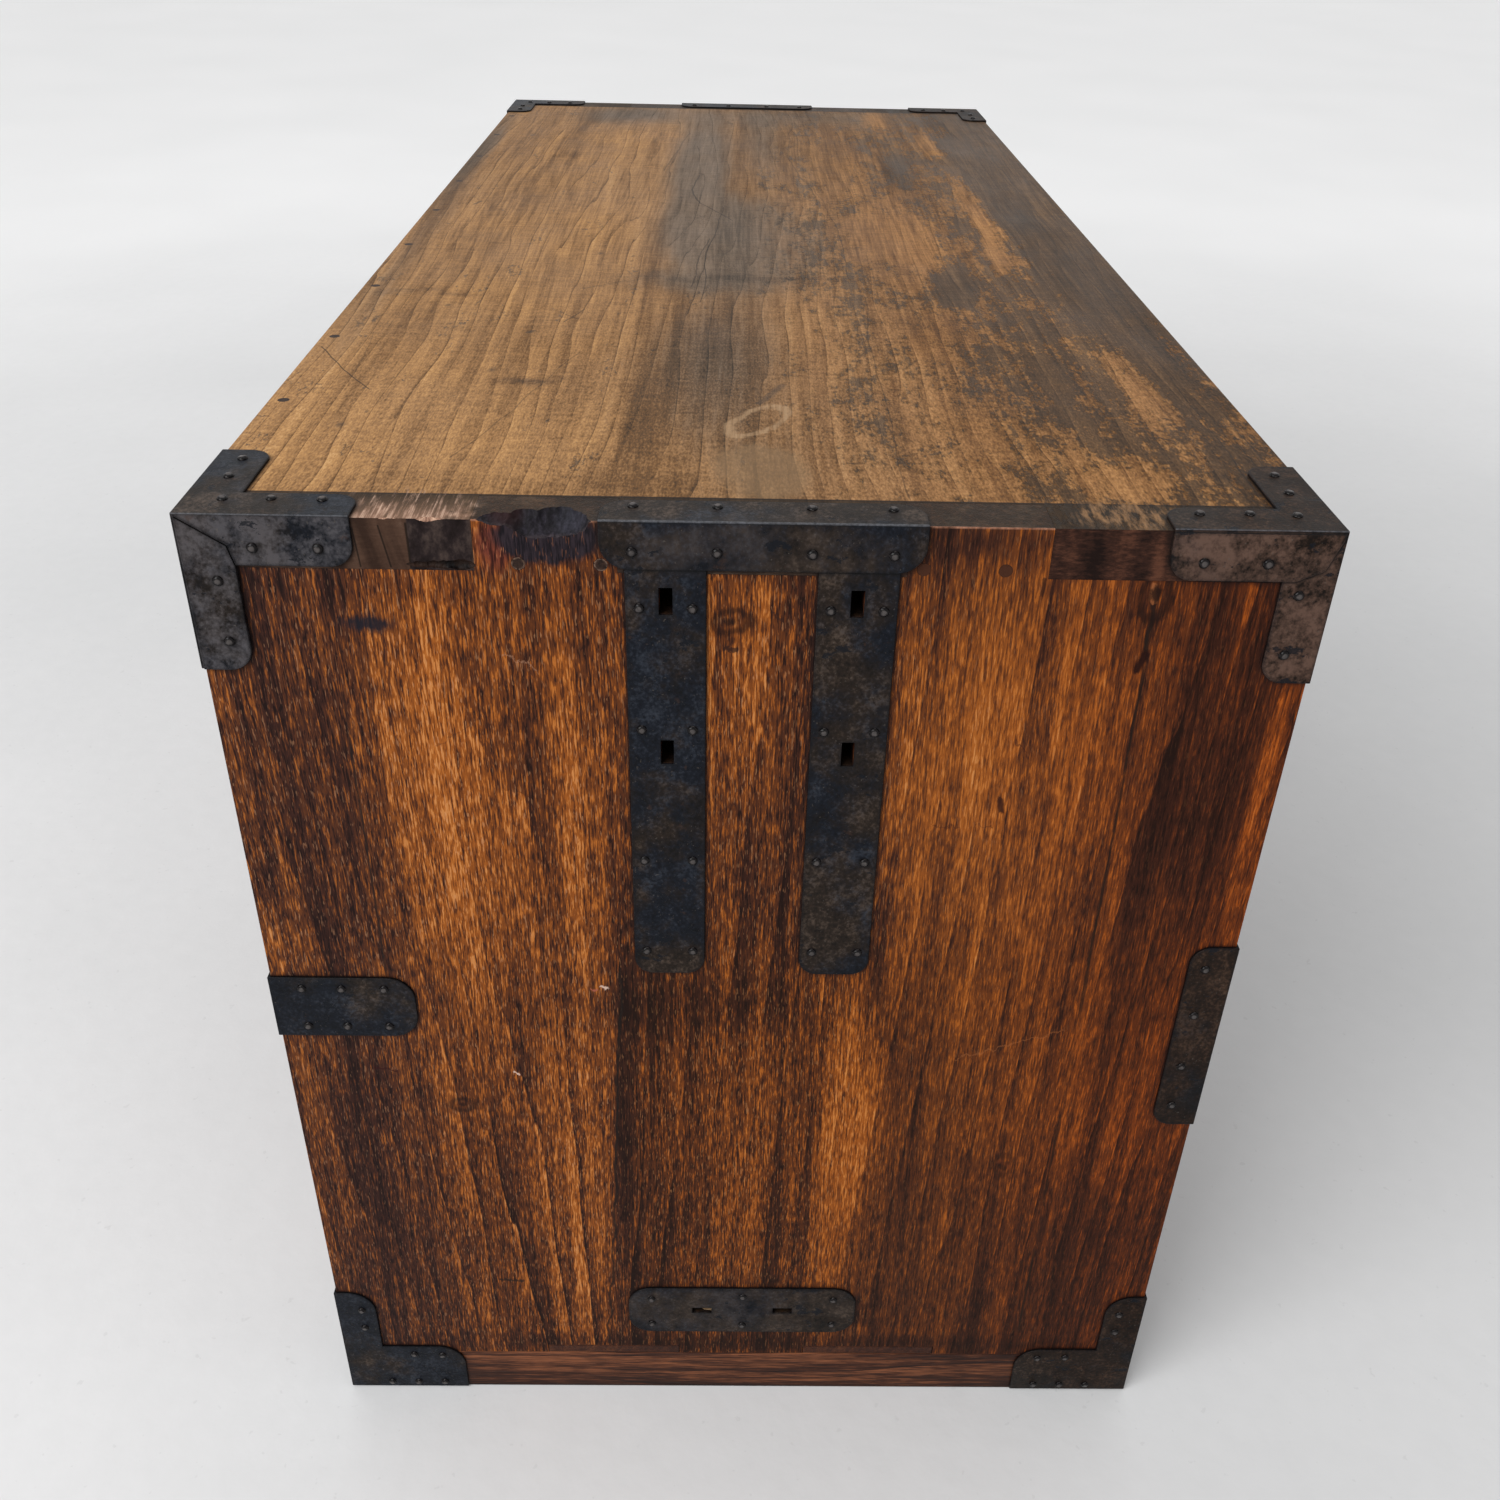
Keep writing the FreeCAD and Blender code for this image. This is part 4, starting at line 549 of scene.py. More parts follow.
def top_wood():
    """The top: worn tan with grey-brown stains, its growth lines running lengthwise."""
    g = Graph("worn_top_wood")
    at = wandering(g, "x", 5, 30 * MM)
    broad = g.noise((1.5, 15, 15), 3, at=at)
    streak = g.noise((3.0, 70, 70), 3, 0.6, at)
    fine = g.noise((20, 560, 560), 3, 0.65, at)
    hair = g.noise((400, 1150, 1150), 2, 0.6, at)
    cross = g.noise((300, 75, 75), 4, 0.65)
    mottle = g.noise((13, 24, 24), 4, 0.6)
    clumps = g.noise((24, 48, 48), 4, 0.6, shift=6.0)
    islands = g.noise((75, 190, 190), 8, 0.74, shift=2.0)
    crumbs = g.noise((260, 430, 430), 3, 0.7, shift=9.0)

    ragged = g.moved(mottle.swing(60 * MM), streak.swing(16 * MM), 0.0)
    # Its tone, with painted shade: darker over the front half, where the light falls off.
    tone = broad.swing(0.3) + mottle.swing(0.18) + 0.5 - g.y.step_mm(70, -40) * 0.13
    stain = broad.swing(0.35) + mottle.swing(0.35) + 0.25
    coat = g.y.step_mm(20, -60) * 0.17 + g.y.step_mm(-60, -150) * 0.1 + 0.22
    for x, y, half_length, half_width, lighter, dirtier, coated in TOP_PATCHES:
        reach = mm(half_length * LONGER, half_width * WIDER, FACE_DEPTH)
        patch = g.spot(on_top(x, y), reach, ragged)
        tone += patch * lighter
        if dirtier:
            stain += patch * dirtier
        if coated:
            coat += patch * coated

    # Each growth line pales slowly and then darkens at once. They bow round the middle.
    bow = g.spot(on_top(600, -10), (420 * MM, 150 * MM, 0.2))
    sway = g.noise((4.5, 9, 9), 1, shift=12.0)
    bend = bow * 26 * MM + broad.swing(46 * MM) + sway.swing(26 * MM) + streak.swing(10 * MM)
    ring = ((g.parts(at)[1] + bend) / (10.5 * MM)).saw()
    patchy = 0.5 + mottle.swing(2.0) - g.x.step_mm(-250, 150) * 0.25
    tone += (ring - 0.5) * patchy.clamped() * 0.3
    ring_line = ring.step(0.09, 0.0)
    tone -= ring_line * streak.step(0.4, 0.55) * (g.y.step_mm(-30, 40) * 0.15 + 0.09)
    near = g.x.step_mm(-50, -400)
    tone += streak.swing(0.7) + (1 - near * 0.35) * fine.swing(0.66) + cross.swing(0.4)
    tone += hair.swing(0.4 + near * 0.45)

    stain = (stain + fine.swing(0.35) + streak.swing(0.35)).step(0.15, 0.85)
    clean = g.ramp(
        tone,
        (0.0, 0.04, 0.021, 0.009), (0.3, 0.145, 0.07, 0.0245),
        (0.52, 0.285, 0.148, 0.058), (0.76, 0.45, 0.24, 0.092), (1.0, 0.6, 0.36, 0.16),
    )
    dirty = g.ramp(
        tone,
        (0.0, 0.028, 0.019, 0.012), (0.3, 0.096, 0.065, 0.042),
        (0.55, 0.17, 0.118, 0.08), (0.8, 0.24, 0.168, 0.112), (1.0, 0.33, 0.24, 0.16),
    )
    g.colour = g.mix(stain, clean, dirty)

    # The dark coat that is left on the front half has flaked off in ragged islands.
    left_on = coat + islands.swing(1.15) + clumps.swing(0.7)
    left_on += crumbs.swing(0.7) + streak.swing(0.45)
    film = left_on.step(0.42, 0.51) * g.nz.step(0.3, 0.7)
    coat_colour = g.ramp(
        tone, (0.1, 0.0185, 0.0108, 0.0052), (0.4, 0.064, 0.0372, 0.019),
        (0.85, 0.185, 0.112, 0.06))
    # Painted shade: the coat is darker still at the near front corner, where the light falls off.
    front_corner_shade = near * g.y.step_mm(-60, -130)
    coat_colour = g.mix(front_corner_shade, coat_colour, (0.78, 0.73, 0.64), "MULTIPLY")
    bare = g.y.step_mm(10, -40) * left_on.step(0.42, 0.26) * g.x.step(250 * MM, 0.0)
    bare_colour = g.ramp(
        tone, (0.1, 0.15, 0.066, 0.024), (0.5, 0.43, 0.225, 0.096), (0.9, 0.7, 0.43, 0.22))
    g.paint(bare * 0.42, bare_colour)
    g.paint(film * 0.86, coat_colour)

    wavy = g.moved(0.0, g.noise(11, 3).swing(14 * MM), 0.0)
    g.colour = marked(g, g.colour, TOP_SCRATCHES, on_top, wavy)

    # A pale oval scuff, and the scuffed patch beside it.
    drawn = g.moved(cross.swing(9 * MM), mottle.swing(26 * MM), 0.0)
    across, aside, _ = g.parts(g.vector_math("SUBTRACT", drawn, on_top(108, 2)))
    long_way = (across * 0.86 - aside * 0.51) / (21 * MM)
    short_way = (across * 0.51 + aside * 0.86) / (9.5 * MM)
    oval = g.length(g.vector(long_way, short_way, 0.0))
    ring_mark = (oval - 1.0).size().step(0.24, 0.08)
    ring_mark *= (g.z - TOP_Z).size().step_mm(FACE_DEPTH, FACE_DEPTH / 2)
    g.paint(ring_mark * fine.gate(2.4, 0.65) * 0.85, (0.38, 0.245, 0.135))
    scuff = g.spot(on_top(54, 0), mm(34, 24, FACE_DEPTH), ragged, soft=0.35)
    g.paint(scuff * 0.5, (0.24, 0.15, 0.078))

    dents = (
        (95, 175, 3), (170, 120, 3), (275, 160, 2.5), (390, 90, 3), (210, -100, 4), (305, -85, 3),
    )
    for x, y, size in dents:
        dent = g.spot(on_top(x, y), mm(size * 1.6, size, FACE_DEPTH), wavy)
        g.paint(dent * 0.7, (0.05, 0.032, 0.022))

    end_grain = g.nx.size().step(0.5, 0.8)
    pith = g.noise((300, 260, 900), 3, 0.7)
    bands = g.noise((20, 110, 40), 2, shift=3.0)
    ends = g.ramp(
        pith * 0.6 + bands * 0.4,
        (0.3, 0.018, 0.012, 0.01), (0.5, 0.056, 0.036, 0.026), (0.7, 0.125, 0.082, 0.056))
    reddish = g.y.step(0.0, -100 * MM)
    ends = g.mix(reddish * 0.92, ends, g.ramp(
        pith * 0.45 + bands * 0.55,
        (0.38, 0.0105, 0.005, 0.0042), (0.5, 0.036, 0.0145, 0.0098), (0.64, 0.105, 0.04, 0.023)))
    sides = g.ny.size().step(0.5, 0.8)
    edge_tone = tone * 0.8 + pith.swing(0.3)
    edges = g.ramp(
        edge_tone, (0.15, 0.02, 0.01, 0.007), (0.42, 0.085, 0.034, 0.016),
        (0.75, 0.26, 0.115, 0.045))
    g.paint(sides, edges)
    front = g.y.step_mm(-10, -110)
    g.paint(front, (1.0, 0.93, 0.81), "MULTIPLY")

    # The near finger is browner, with slanting bands, and half of it is nearly black.
    finger = g.y.step_mm(104, 106) * g.x.step_mm(-470, -474)
    slanted = g.moved(0.0, g.z * -0.22, 0.0)
    bands = g.noise((20, 95, 12), 3, 0.55, slanted, shift=3.0)
    ends = g.mix(finger * 0.95, ends, g.ramp(
        pith * 0.14 + bands * 0.86,
        (0.36, 0.03, 0.015, 0.01), (0.5, 0.07, 0.037, 0.024), (0.64, 0.135, 0.08, 0.055)))
    charred = finger * (g.y + bands.swing(3 * MM)).step_mm(128.5, 127.5)
    soot = g.noise((150, 150, 110), 5, 0.65, shift=11.0)
    ends = g.mix(charred * 0.95, ends, g.ramp(
        soot,
        (0.36, 0.006, 0.0042, 0.0044), (0.5, 0.0165, 0.0115, 0.012), (0.66, 0.06, 0.042, 0.036)))
    cracks = (
        (147.6, 506, 146.2, 491, 0.9, 0.85, CRACK), (138.2, 507, 135.2, 491, 1.0, 0.85, CRACK),
        (128.3, 508, 128, 491, 1.2, 0.85, CRACK),
    )
    ends = marked(g, ends, cracks, on_end)
    g.paint(end_grain, ends)
    comb_strip(g, fine)

    # Painted shade, with some grime, in creases and beside the irons.
    g.paint_shade_and_grime(3.5 * MM, 2.0, (0.014, 0.01, 0.009))

    relief = fine * 0.5 + hair * 0.4 + streak * 0.4 + film * 0.5 + ring * 0.2
    normal = g.bump(relief, 0.25 * MM)
    roughness = 0.5 + mottle.swing(0.3) - film * 0.08
    return g.finish(roughness, normal, gloss=0.05)


def plain_wood(name, axis, shades, gloss=0.12, rough=0.45, contrast=1.0):
    """A board of one wood, its grain along one axis, from a dark, a middle and a light shade."""
    dark, middle, light = shades
    g = Graph(name)
    at = wandering(g, axis, 8, 10 * MM)
    broad = g.noise(along_grain(axis, 24, 1.4), 2, at=at)
    lines = g.noise(along_grain(axis, 150, 3.5), 3, 0.6, at)
    fine = g.noise(along_grain(axis, 560, 15), 2, 0.6, at)
    hair = g.noise(along_grain(axis, 1300, 60), 2, 0.6, at)
    mottle = g.noise(14, 3)
    across = [part for name, part in zip("xyz", g.parts(at)) if name != axis]
    ring = ((across[0] + across[1] * 0.6 + broad.swing(50 * MM)) / (10 * MM)).saw()
    tone = broad.swing(0.9) + lines.swing(0.8) + fine.swing(0.7) + mottle.swing(0.5)
    tone += (ring - 0.5) * 0.2 - ring.step(0.1, 0.02) * lines.step(0.4, 0.6) * 0.2
    tone += hair.step(0.54, 0.6) * 0.16 - hair.step(0.46, 0.41) * 0.14
    tone = 0.42 + tone * contrast
    g.colour = g.ramp(tone, (0.1, *dark), (0.5, *middle), (0.95, *light))
    pore_gap, pore_number = g.cells(along_grain(axis, 900, 60), at)
    pore = pore_gap.step(0.36, 0.15) * pore_number.step(0.4, 0.7)
    shade = tuple(0.3 * c for c in dark)
    g.paint(pore * 0.6, shade)
    end_face = (g.nx, g.ny, g.nz)["xyz".index(axis)].size().step(0.6, 0.85)
    g.paint(end_face * 0.6, dark)
    # Painted shade, with some grime, in creases and where parts meet.
    g.paint_shade_and_grime(5 * MM, 1.1, shade)
    relief = fine * 0.4 + lines * 0.5 - pore * 0.6
    return g.finish(rough + (mottle - 0.5) * 0.2, g.bump(relief, 0.2 * MM), gloss=gloss)


def peg_wood():
    """End grain of the pegs: nearly black, and in the comb joint reddish or with a pale rim."""
    g = Graph("peg_wood")
    pith = g.noise((500, 900, 900), 3, 0.7)
    g.colour = g.ramp(pith, (0.3, 0.01, 0.007, 0.006), (0.7, 0.045, 0.024, 0.017))
    rim = 0
    for y in (-89, -59, 59, 89):
        gap = g.vector(0.0, g.y - y * MM, g.z - 493 * MM)
        distance = g.length(gap)
        rim = distance.step_mm(1.7, 2.3) * distance.step_mm(3.2, 2.6) + rim
    showing = g.nx.size().step(0.3, 0.6)
    back_half = g.y.step_mm(-20, 20)
    rim *= pith.gate(5.0, 0.4) * showing * back_half
    g.paint(showing * (1 - back_half) * 0.85, (0.062, 0.0215, 0.0105))
    g.paint(rim * 0.7, (0.24, 0.15, 0.105))
    return g.finish(0.5 + pith.swing(0.2), g.bump(pith, 0.2 * MM), gloss=0.08)


def torn_wood():
    """Where the comb joint's edge is broken: pale torn fibres, and blue-grey in the deep break."""
    g = Graph("torn_wood")
    lengthwise = g.noise((70, 800, 800), 3, 0.65)
    upright = g.noise((500, 700, 90), 4, 0.7)
    cloud = g.noise(140, 3, 0.6, shift=3.0)
    pale = g.ramp(
        lengthwise * 0.7 + cloud * 0.3,
        (0.36, 0.075, 0.035, 0.024), (0.5, 0.3, 0.165, 0.11), (0.64, 0.58, 0.38, 0.27))
    deep = g.ramp(
        upright * 0.6 + cloud * 0.4,
        (0.36, 0.0028, 0.0022, 0.003), (0.5, 0.0084, 0.0068, 0.0094), (0.66, 0.028, 0.024, 0.033))
    bluish = g.spot(on_top(6, 70), mm(14, 9, 12), soft=0.8) * upright.gate(2.0, 0.6)
    deep = g.mix(bluish * 0.55, deep, (0.044, 0.046, 0.062))
    reddish = g.spot(on_top(10, 94), mm(16, 9, 14), soft=0.7)
    deep = g.mix(reddish * 0.8, deep, (0.02, 0.0065, 0.0065))
    rim = (g.x - NEAR_X).step_mm(2.2, 0.4) * upright.gate(3.0, 0.5)
    deep = g.mix(rim * 0.22, deep, (0.11, 0.075, 0.07))
    g.colour = g.mix(g.y.step_mm(106.5, 103), pale, deep)
    # The lowest part of the break is painted nearly black: painted shade in the deepest hollow.
    crevice = g.z.step_mm(497, 495) * (g.y - 60 * MM).size().step_mm(41, 44)
    g.paint(crevice, g.ramp(cloud, (0.4, 0.003, 0.002, 0.002), (0.7, 0.035, 0.018, 0.012)))
    normal = g.bump(lengthwise * 0.6 + upright * 0.5, 0.3 * MM)
    return g.finish(0.55 + cloud.swing(0.2), normal, gloss=0.1)


# ---- Iron ----

def sheet_iron():
    """Hand-worked sheet: blue-black skin, worn through to brown-grey in islands."""
    g = Graph("dark_iron")
    cloud = g.noise(26, 8, 0.66)
    grain = g.noise(620, 4, 0.7)
    scabs = g.noise(170, 5, 0.7, shift=5.0)
    aside = g.noise(5, 1, shift=1.0)
    fade = g.noise(60, 4, 0.6, shift=6.0)

    # Towards the back the iron keeps its blue skin, and the front is browner.
    tone = 0.475 + grain.swing(1.3) + scabs.swing(0.9) + fade.swing(0.9)
    bias = g.y.step_mm(-150, 60) * 0.12 - 0.09 + aside.swing(0.15)
    bias += g.y.step_mm(110, 150) * 0.05 - g.nz.step(0.5, 0.9) * 0.05
    skin = (cloud + bias + grain.swing(0.16)).step(0.41, 0.59)
    brown = g.ramp(
        tone,
        (0.15, 0.0052, 0.0036, 0.0028), (0.5, 0.0185, 0.012, 0.0084), (0.85, 0.074, 0.052, 0.039))
    blue = g.ramp(
        tone,
        (0.15, 0.0012, 0.0019, 0.0038), (0.5, 0.0052, 0.007, 0.012), (0.85, 0.026, 0.031, 0.042))
    g.colour = g.mix(skin, brown, blue)
    g.paint(g.y.step_mm(-120, -190), (0.8, 0.61, 0.49), "MULTIPLY")

    # The top corners are rubbed paler, brown at the front and a cold grey at the back.
    rubbed = g.z.step_mm(405, 450) * g.y.size().step_mm(110, 140) * g.nz.step(0.8, 0.4)
    rubbed *= (fade.swing(3.2) + scabs.swing(2.4) + grain.swing(1.8) + 0.5).clamped()
    worn = g.mix(g.y.step_mm(80, -80), (0.078, 0.072, 0.077), (0.125, 0.072, 0.053))
    g.paint(rubbed * 0.8, worn)
    for y, z, half_width, half_height in ((0, 500, 62, 14), (2, 67, 74, 26)):
        handled = g.spot(on_end(y, z), mm(FACE_DEPTH, half_width, half_height), soft=0.4)
        handled *= (fade.swing(2.0) + scabs.swing(1.5) + 0.42).clamped()
        g.paint(handled * 0.5, (0.066, 0.047, 0.036))
    tears = g.noise((70, 70, 110), 6, 0.7, shift=8.0).step(0.6, 0.63)
    g.paint(tears * 0.85, (0.0035, 0.005, 0.0085))
    rust = g.noise(120, 5, 0.7, shift=7.0).step(0.62, 0.72)
    g.paint(rust * 0.45, (0.05, 0.026, 0.017))
    scraped = g.noise(900, 2, shift=4.0).step(0.68, 0.74)
    g.paint(scraped * 0.45, (0.1, 0.086, 0.074))

    # The borders are painted darker, partly grime and partly painted shade where the sheet's edges
    # roll down, and the fold along the top's edge gets a painted highlight, a thin pale line where
    # its shine would be.
    soft_normal = g.node("Bevel", {"Radius": 2.2 * MM}, samples=4)
    facing = g.node("NewGeometry")
    agree = g.vector_math("DOT_PRODUCT", soft_normal.outputs[0], facing.outputs["Normal"])
    border = Field(g, agree).step(0.995, 0.93)
    g.paint(border * 0.75, (0.004, 0.0045, 0.006))
    fold_highlight = top_arris(g, 475.2, 510.2, 0.45, 0.8)
    g.paint(fold_highlight * grain.gate(1.4, 0.45), (0.13, 0.135, 0.15))

    # Painted shade, with some grime: a dark ring round the nails and lines where sheets overlap.
    g.paint_shade_and_grime(1.8 * MM, 2.6, (0.003, 0.003, 0.0035))
    hollows = g.noise(65, 1, shift=3.0)
    relief = hollows * 2.2 + grain * 0.6 + scabs * 0.5 - tears * 0.4
    normal = g.bump(relief, 0.25 * MM)
    roughness = 0.42 + cloud.swing(0.35) + (1 - skin) * 0.1
    return g.finish(roughness, normal, gloss=0.11)


def nail_iron():
    """Forged heads: dark, with a painted highlight, a paler crown on top of each head that stands
    in for its shine.
    """
    g = Graph("nail_iron")
    grain = g.noise(700, 3)
    level = g.greater(g.greater(g.nx.size(), g.ny.size()), g.nz.size())
    # Painted highlight: the top of each dome is paler.
    crown_highlight = (level + grain.swing(0.1)).step(0.9, 1.0)
    g.colour = g.ramp(grain, (0.3, 0.0026, 0.0023, 0.0026), (0.8, 0.0105, 0.0085, 0.0085))
    g.paint(crown_highlight * 0.85, (0.088, 0.077, 0.074))
    normal = g.bump(grain, 0.03 * MM)
    return g.finish(0.16 + grain.swing(0.14), normal, gloss=0.14)


# ---- Dressing the CAD nodes ----

def round_edges(piece, width, even=True):
    """Takes the sharpness off a piece's arrises. Its own mesh stays as it is."""
    steps = (
        ("weld", "WELD", {"merge_threshold": 0.01 * MM}),
        ("flats", "DECIMATE", {"decimate_type": "DISSOLVE", "angle_limit": 0.01}),
        ("round", "BEVEL", {
            "width": width, "segments": 2, "limit_method": "ANGLE", "angle_limit": 0.6,
            "harden_normals": even}),
    )
    for name, kind, settings in steps:
        modifier = piece.modifiers.new(name, kind)
        for setting, value in settings.items():
            setattr(modifier, setting, value)


def dress(names, material, edge=None):
    for name in names:
        node = nodes[name]
        node.data.materials.clear()
        node.data.materials.append(material)
        if edge:
            round_edges(node, edge)


RED = ((0.024, 0.0085, 0.0055), (0.098, 0.03, 0.0125), (0.26, 0.088, 0.03))
PALE = ((0.25, 0.155, 0.078), (0.43, 0.3, 0.17), (0.56, 0.42, 0.26))
BASE = ((0.017, 0.0065, 0.0045), (0.052, 0.0165, 0.008), (0.23, 0.08, 0.034))

slots = {}
for part in frame["record"]["subparts"]:
    slots.setdefault(part["material_slot"], []).append(part["node"])

BOARD_EDGE = 0.8 * MM
THIN_BOARD_EDGE = 0.5 * MM
SHEET_EDGE = 0.4 * MM

dress(["left_end_board", "right_end_board"], end_wood(), BOARD_EDGE)
dress(["top_board"], top_wood(), BOARD_EDGE)

red_x = plain_wood("reddish_wood", "x", RED)
red_y = plain_wood("reddish_wood_crosswise", "y", RED)
red_z = plain_wood("reddish_wood_upright", "z", RED)
dress(["bottom_board", "back_planks", "middle_rail", "large_drawer_front",
       "upper_small_drawer_front", "lower_small_drawer_front"], red_x, BOARD_EDGE)
dress(["small_drawer_frame"], red_y, BOARD_EDGE)
base_wood = plain_wood("base_strip_wood", "y", BASE, contrast=1.35)
dress(["base_strips"], base_wood, BOARD_EDGE)
dress(["lower_divider", "door_panel"], red_z, BOARD_EDGE)

pale_x = plain_wood("pale_inner_wood", "x", PALE, 0.15, 0.6)
pale_y = plain_wood("pale_inner_wood_crosswise", "y", PALE, 0.15, 0.6)
dress(["middle_shelf", "compartment_shelf", "large_drawer_back", "large_drawer_bottom"], pale_x,
      THIN_BOARD_EDGE)
dress(["large_drawer_sides", "upper_small_drawer_box", "lower_small_drawer_box"], pale_y,
      THIN_BOARD_EDGE)
dress(["wooden_pegs"], peg_wood())

dress(slots["dark_iron"], sheet_iron(), SHEET_EDGE)
dress(slots["nail_iron"], nail_iron())


# ---- The broken and worn edge of the comb joint ----

def add_object(name, data):
    added = bpy.data.objects.new(name, data)
    bpy.context.scene.collection.objects.link(added)
    return added


def new_piece(name, mesh):
    """A new object in the place of a node, put on the carcass's body. Its finish comes with its
    mesh.
    """
    piece = add_object(name, mesh)
    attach(piece, "carcass")
    return piece


def mesh_from(shape, name):
    mesh = bpy.data.meshes.new(name)
    shape.to_mesh(mesh)
    shape.free()
    return mesh


def join_rings(shape, rings):
    """Faces from each ring of corners to the next. The ends stay open."""
    for one, two in zip(rings, rings[1:]):
        for k in range(len(one)):
            j = (k + 1) % len(one)
            shape.faces.new((one[k], one[j], two[j], two[k]))


def torn(place):
    """How far a torn face strays at a place in millimetres. It splits along the upright grain."""
    split = Vector((place.x * 0.6, place.y, place.z * 0.25))
    return (noise.noise(split * 0.11) + 0.4 * noise.noise(split * 0.37)
            + 0.15 * noise.noise(split * 1.1))


def tool_from(shape, name):
    """A cutter. The faces that it leaves behind take a board's second material."""
    mesh = mesh_from(shape, name)
    for polygon in mesh.polygons:
        polygon.material_index = 1
    return add_object(name, mesh)


def blob(name, centre, half_axes, unevenness):
    """A lump in millimetres, like a piece of wood that has split away."""
    shape = bmesh.new()
    bmesh.ops.create_icosphere(shape, subdivisions=6, radius=1.0)
    for vertex in shape.verts:
        outward = vertex.co.copy()
        place = Vector([c + o * half for c, o, half in zip(centre, outward, half_axes)])
        vertex.co = (place + outward * torn(place) * unevenness) * MM
    return tool_from(shape, name)


def worn_stretch(name, centre, y_low, y_high, radius, unevenness):
    """A long uneven roll in millimetres, like the wood worn off an arris that runs along Y."""
    shape = bmesh.new()
    steps, sides = int((y_high - y_low) / 0.5), 20
    rings = []
    for i in range(steps + 1):
        share = i / steps
        axis = Vector((centre[0], y_low + (y_high - y_low) * share, centre[1]))
        taper = math.sqrt(max(0.0, 1 - abs(2 * share - 1) ** 3)) + 0.02
        ring = []
        for k in range(sides):
            turn = 2 * math.pi * k / sides
            outward = Vector((math.cos(turn), 0, math.sin(turn)))
            stray = torn((axis + outward * radius) * 1.3) * unevenness
            reach = max(0.2, radius + stray) * taper
            ring.append(shape.verts.new((axis + outward * reach) * MM))
        rings.append(ring)
    join_rings(shape, rings)
    shape.faces.new(rings[0])
    shape.faces.new(reversed(rings[-1]))
    bmesh.ops.recalc_face_normals(shape, faces=shape.faces)
    return tool_from(shape, name)


def broken_copy(node, name, tools):
    """A board with pieces gone from it, which stands for the whole one."""
    whole = nodes[node]
    copy = add_object(name, whole.data.copy())
    copy.data.materials.append(TORN)
    round_edges(copy, BOARD_EDGE, even=False)
    for tool in tools:
        cut = copy.modifiers.new("cut", "BOOLEAN")
        cut.operation = "DIFFERENCE"
        cut.solver = "EXACT"
        cut.object = tool
    graph = bpy.context.evaluated_depsgraph_get()
    mesh = bpy.data.meshes.new_from_object(copy.evaluated_get(graph))
    bpy.data.objects.remove(copy)
    for polygon in mesh.polygons:
        polygon.use_smooth = polygon.material_index == 1
    piece = new_piece(name, mesh)
    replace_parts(piece, node)


TORN = torn_wood()
gouge = blob("gouge", (-478, 79.0, 515.6), (17.5, 18.5, 12), 3.0)
terrace = blob("terrace", (-477, 95, 512), (10, 9, 4.2), 1.8)
wear = worn_stretch("wear", (-475.9, 511.7), 94, 150, 2.1, 1.5)
crevice = blob("crevice", (-475.6, 117, 492.2), (2.4, 12.5, 1.9), 2.2)
broken_copy("left_end_board", "chipped_end_board", (gouge, terrace, wear, crevice))
broken_copy("top_board", "worn_top_board", (wear, crevice))
for tool in (gouge, terrace, wear, crevice):
    bpy.data.objects.remove(tool)


# A splinter of light wood is stuck in one slot of the near rest plate.
SPLINTER = (
    (15.8, 65.0), (19.8, 65.1), (21.4, 66.0), (20.2, 66.5), (21.9, 67.3), (20.4, 67.9),
    (20.9, 68.8), (15.8, 68.8),
)
SPLINTER_FOOT = -471.1
SPLINTER_FRONT = -474.6

shape = bmesh.new()
foot_ring = [shape.verts.new(mm(SPLINTER_FOOT, y, z)) for y, z in SPLINTER]
front_ring = []
for y, z in SPLINTER:
    x = SPLINTER_FRONT + 0.25 * abs(y - 17) + torn(Vector((0, y * 3, z * 9))) * 0.5
    front_ring.append(shape.verts.new(mm(x, y, z)))
shape.faces.new(foot_ring)
shape.faces.new(reversed(front_ring))
for k in range(len(SPLINTER)):
    j = (k + 1) % len(SPLINTER)
    shape.faces.new((foot_ring[j], foot_ring[k], front_ring[k], front_ring[j]))
bmesh.ops.recalc_face_normals(shape, faces=shape.faces)
bmesh.ops.triangulate(shape, faces=shape.faces)
splinter_mesh = mesh_from(shape, "splinter")
splinter_mesh.materials.append(pale_y)
new_piece("splinter", splinter_mesh)


# ---- Nail heads ----

def shells(mesh):
    """The corners of each closed shell of a mesh."""
    whole = bmesh.new()
    whole.from_mesh(mesh)
    bmesh.ops.remove_doubles(whole, verts=whole.verts, dist=0.01 * MM)
    seen = set()
    groups = []
    for start in whole.verts:
        if start in seen:
            continue
        seen.add(start)
        group = [start]
        for vertex in group:
            for edge in vertex.link_edges:
                other = edge.other_vert(vertex)
                if other not in seen:
                    seen.add(other)
                    group.append(other)
        groups.append([vertex.co.copy() for vertex in group])
    whole.free()
    return groups


DOME = ((0.88, 0.0), (0.9, 0.12), (0.84, 0.4), (0.7, 0.68), (0.48, 0.89), (0.22, 0.99))
DOME_SIDES = 16


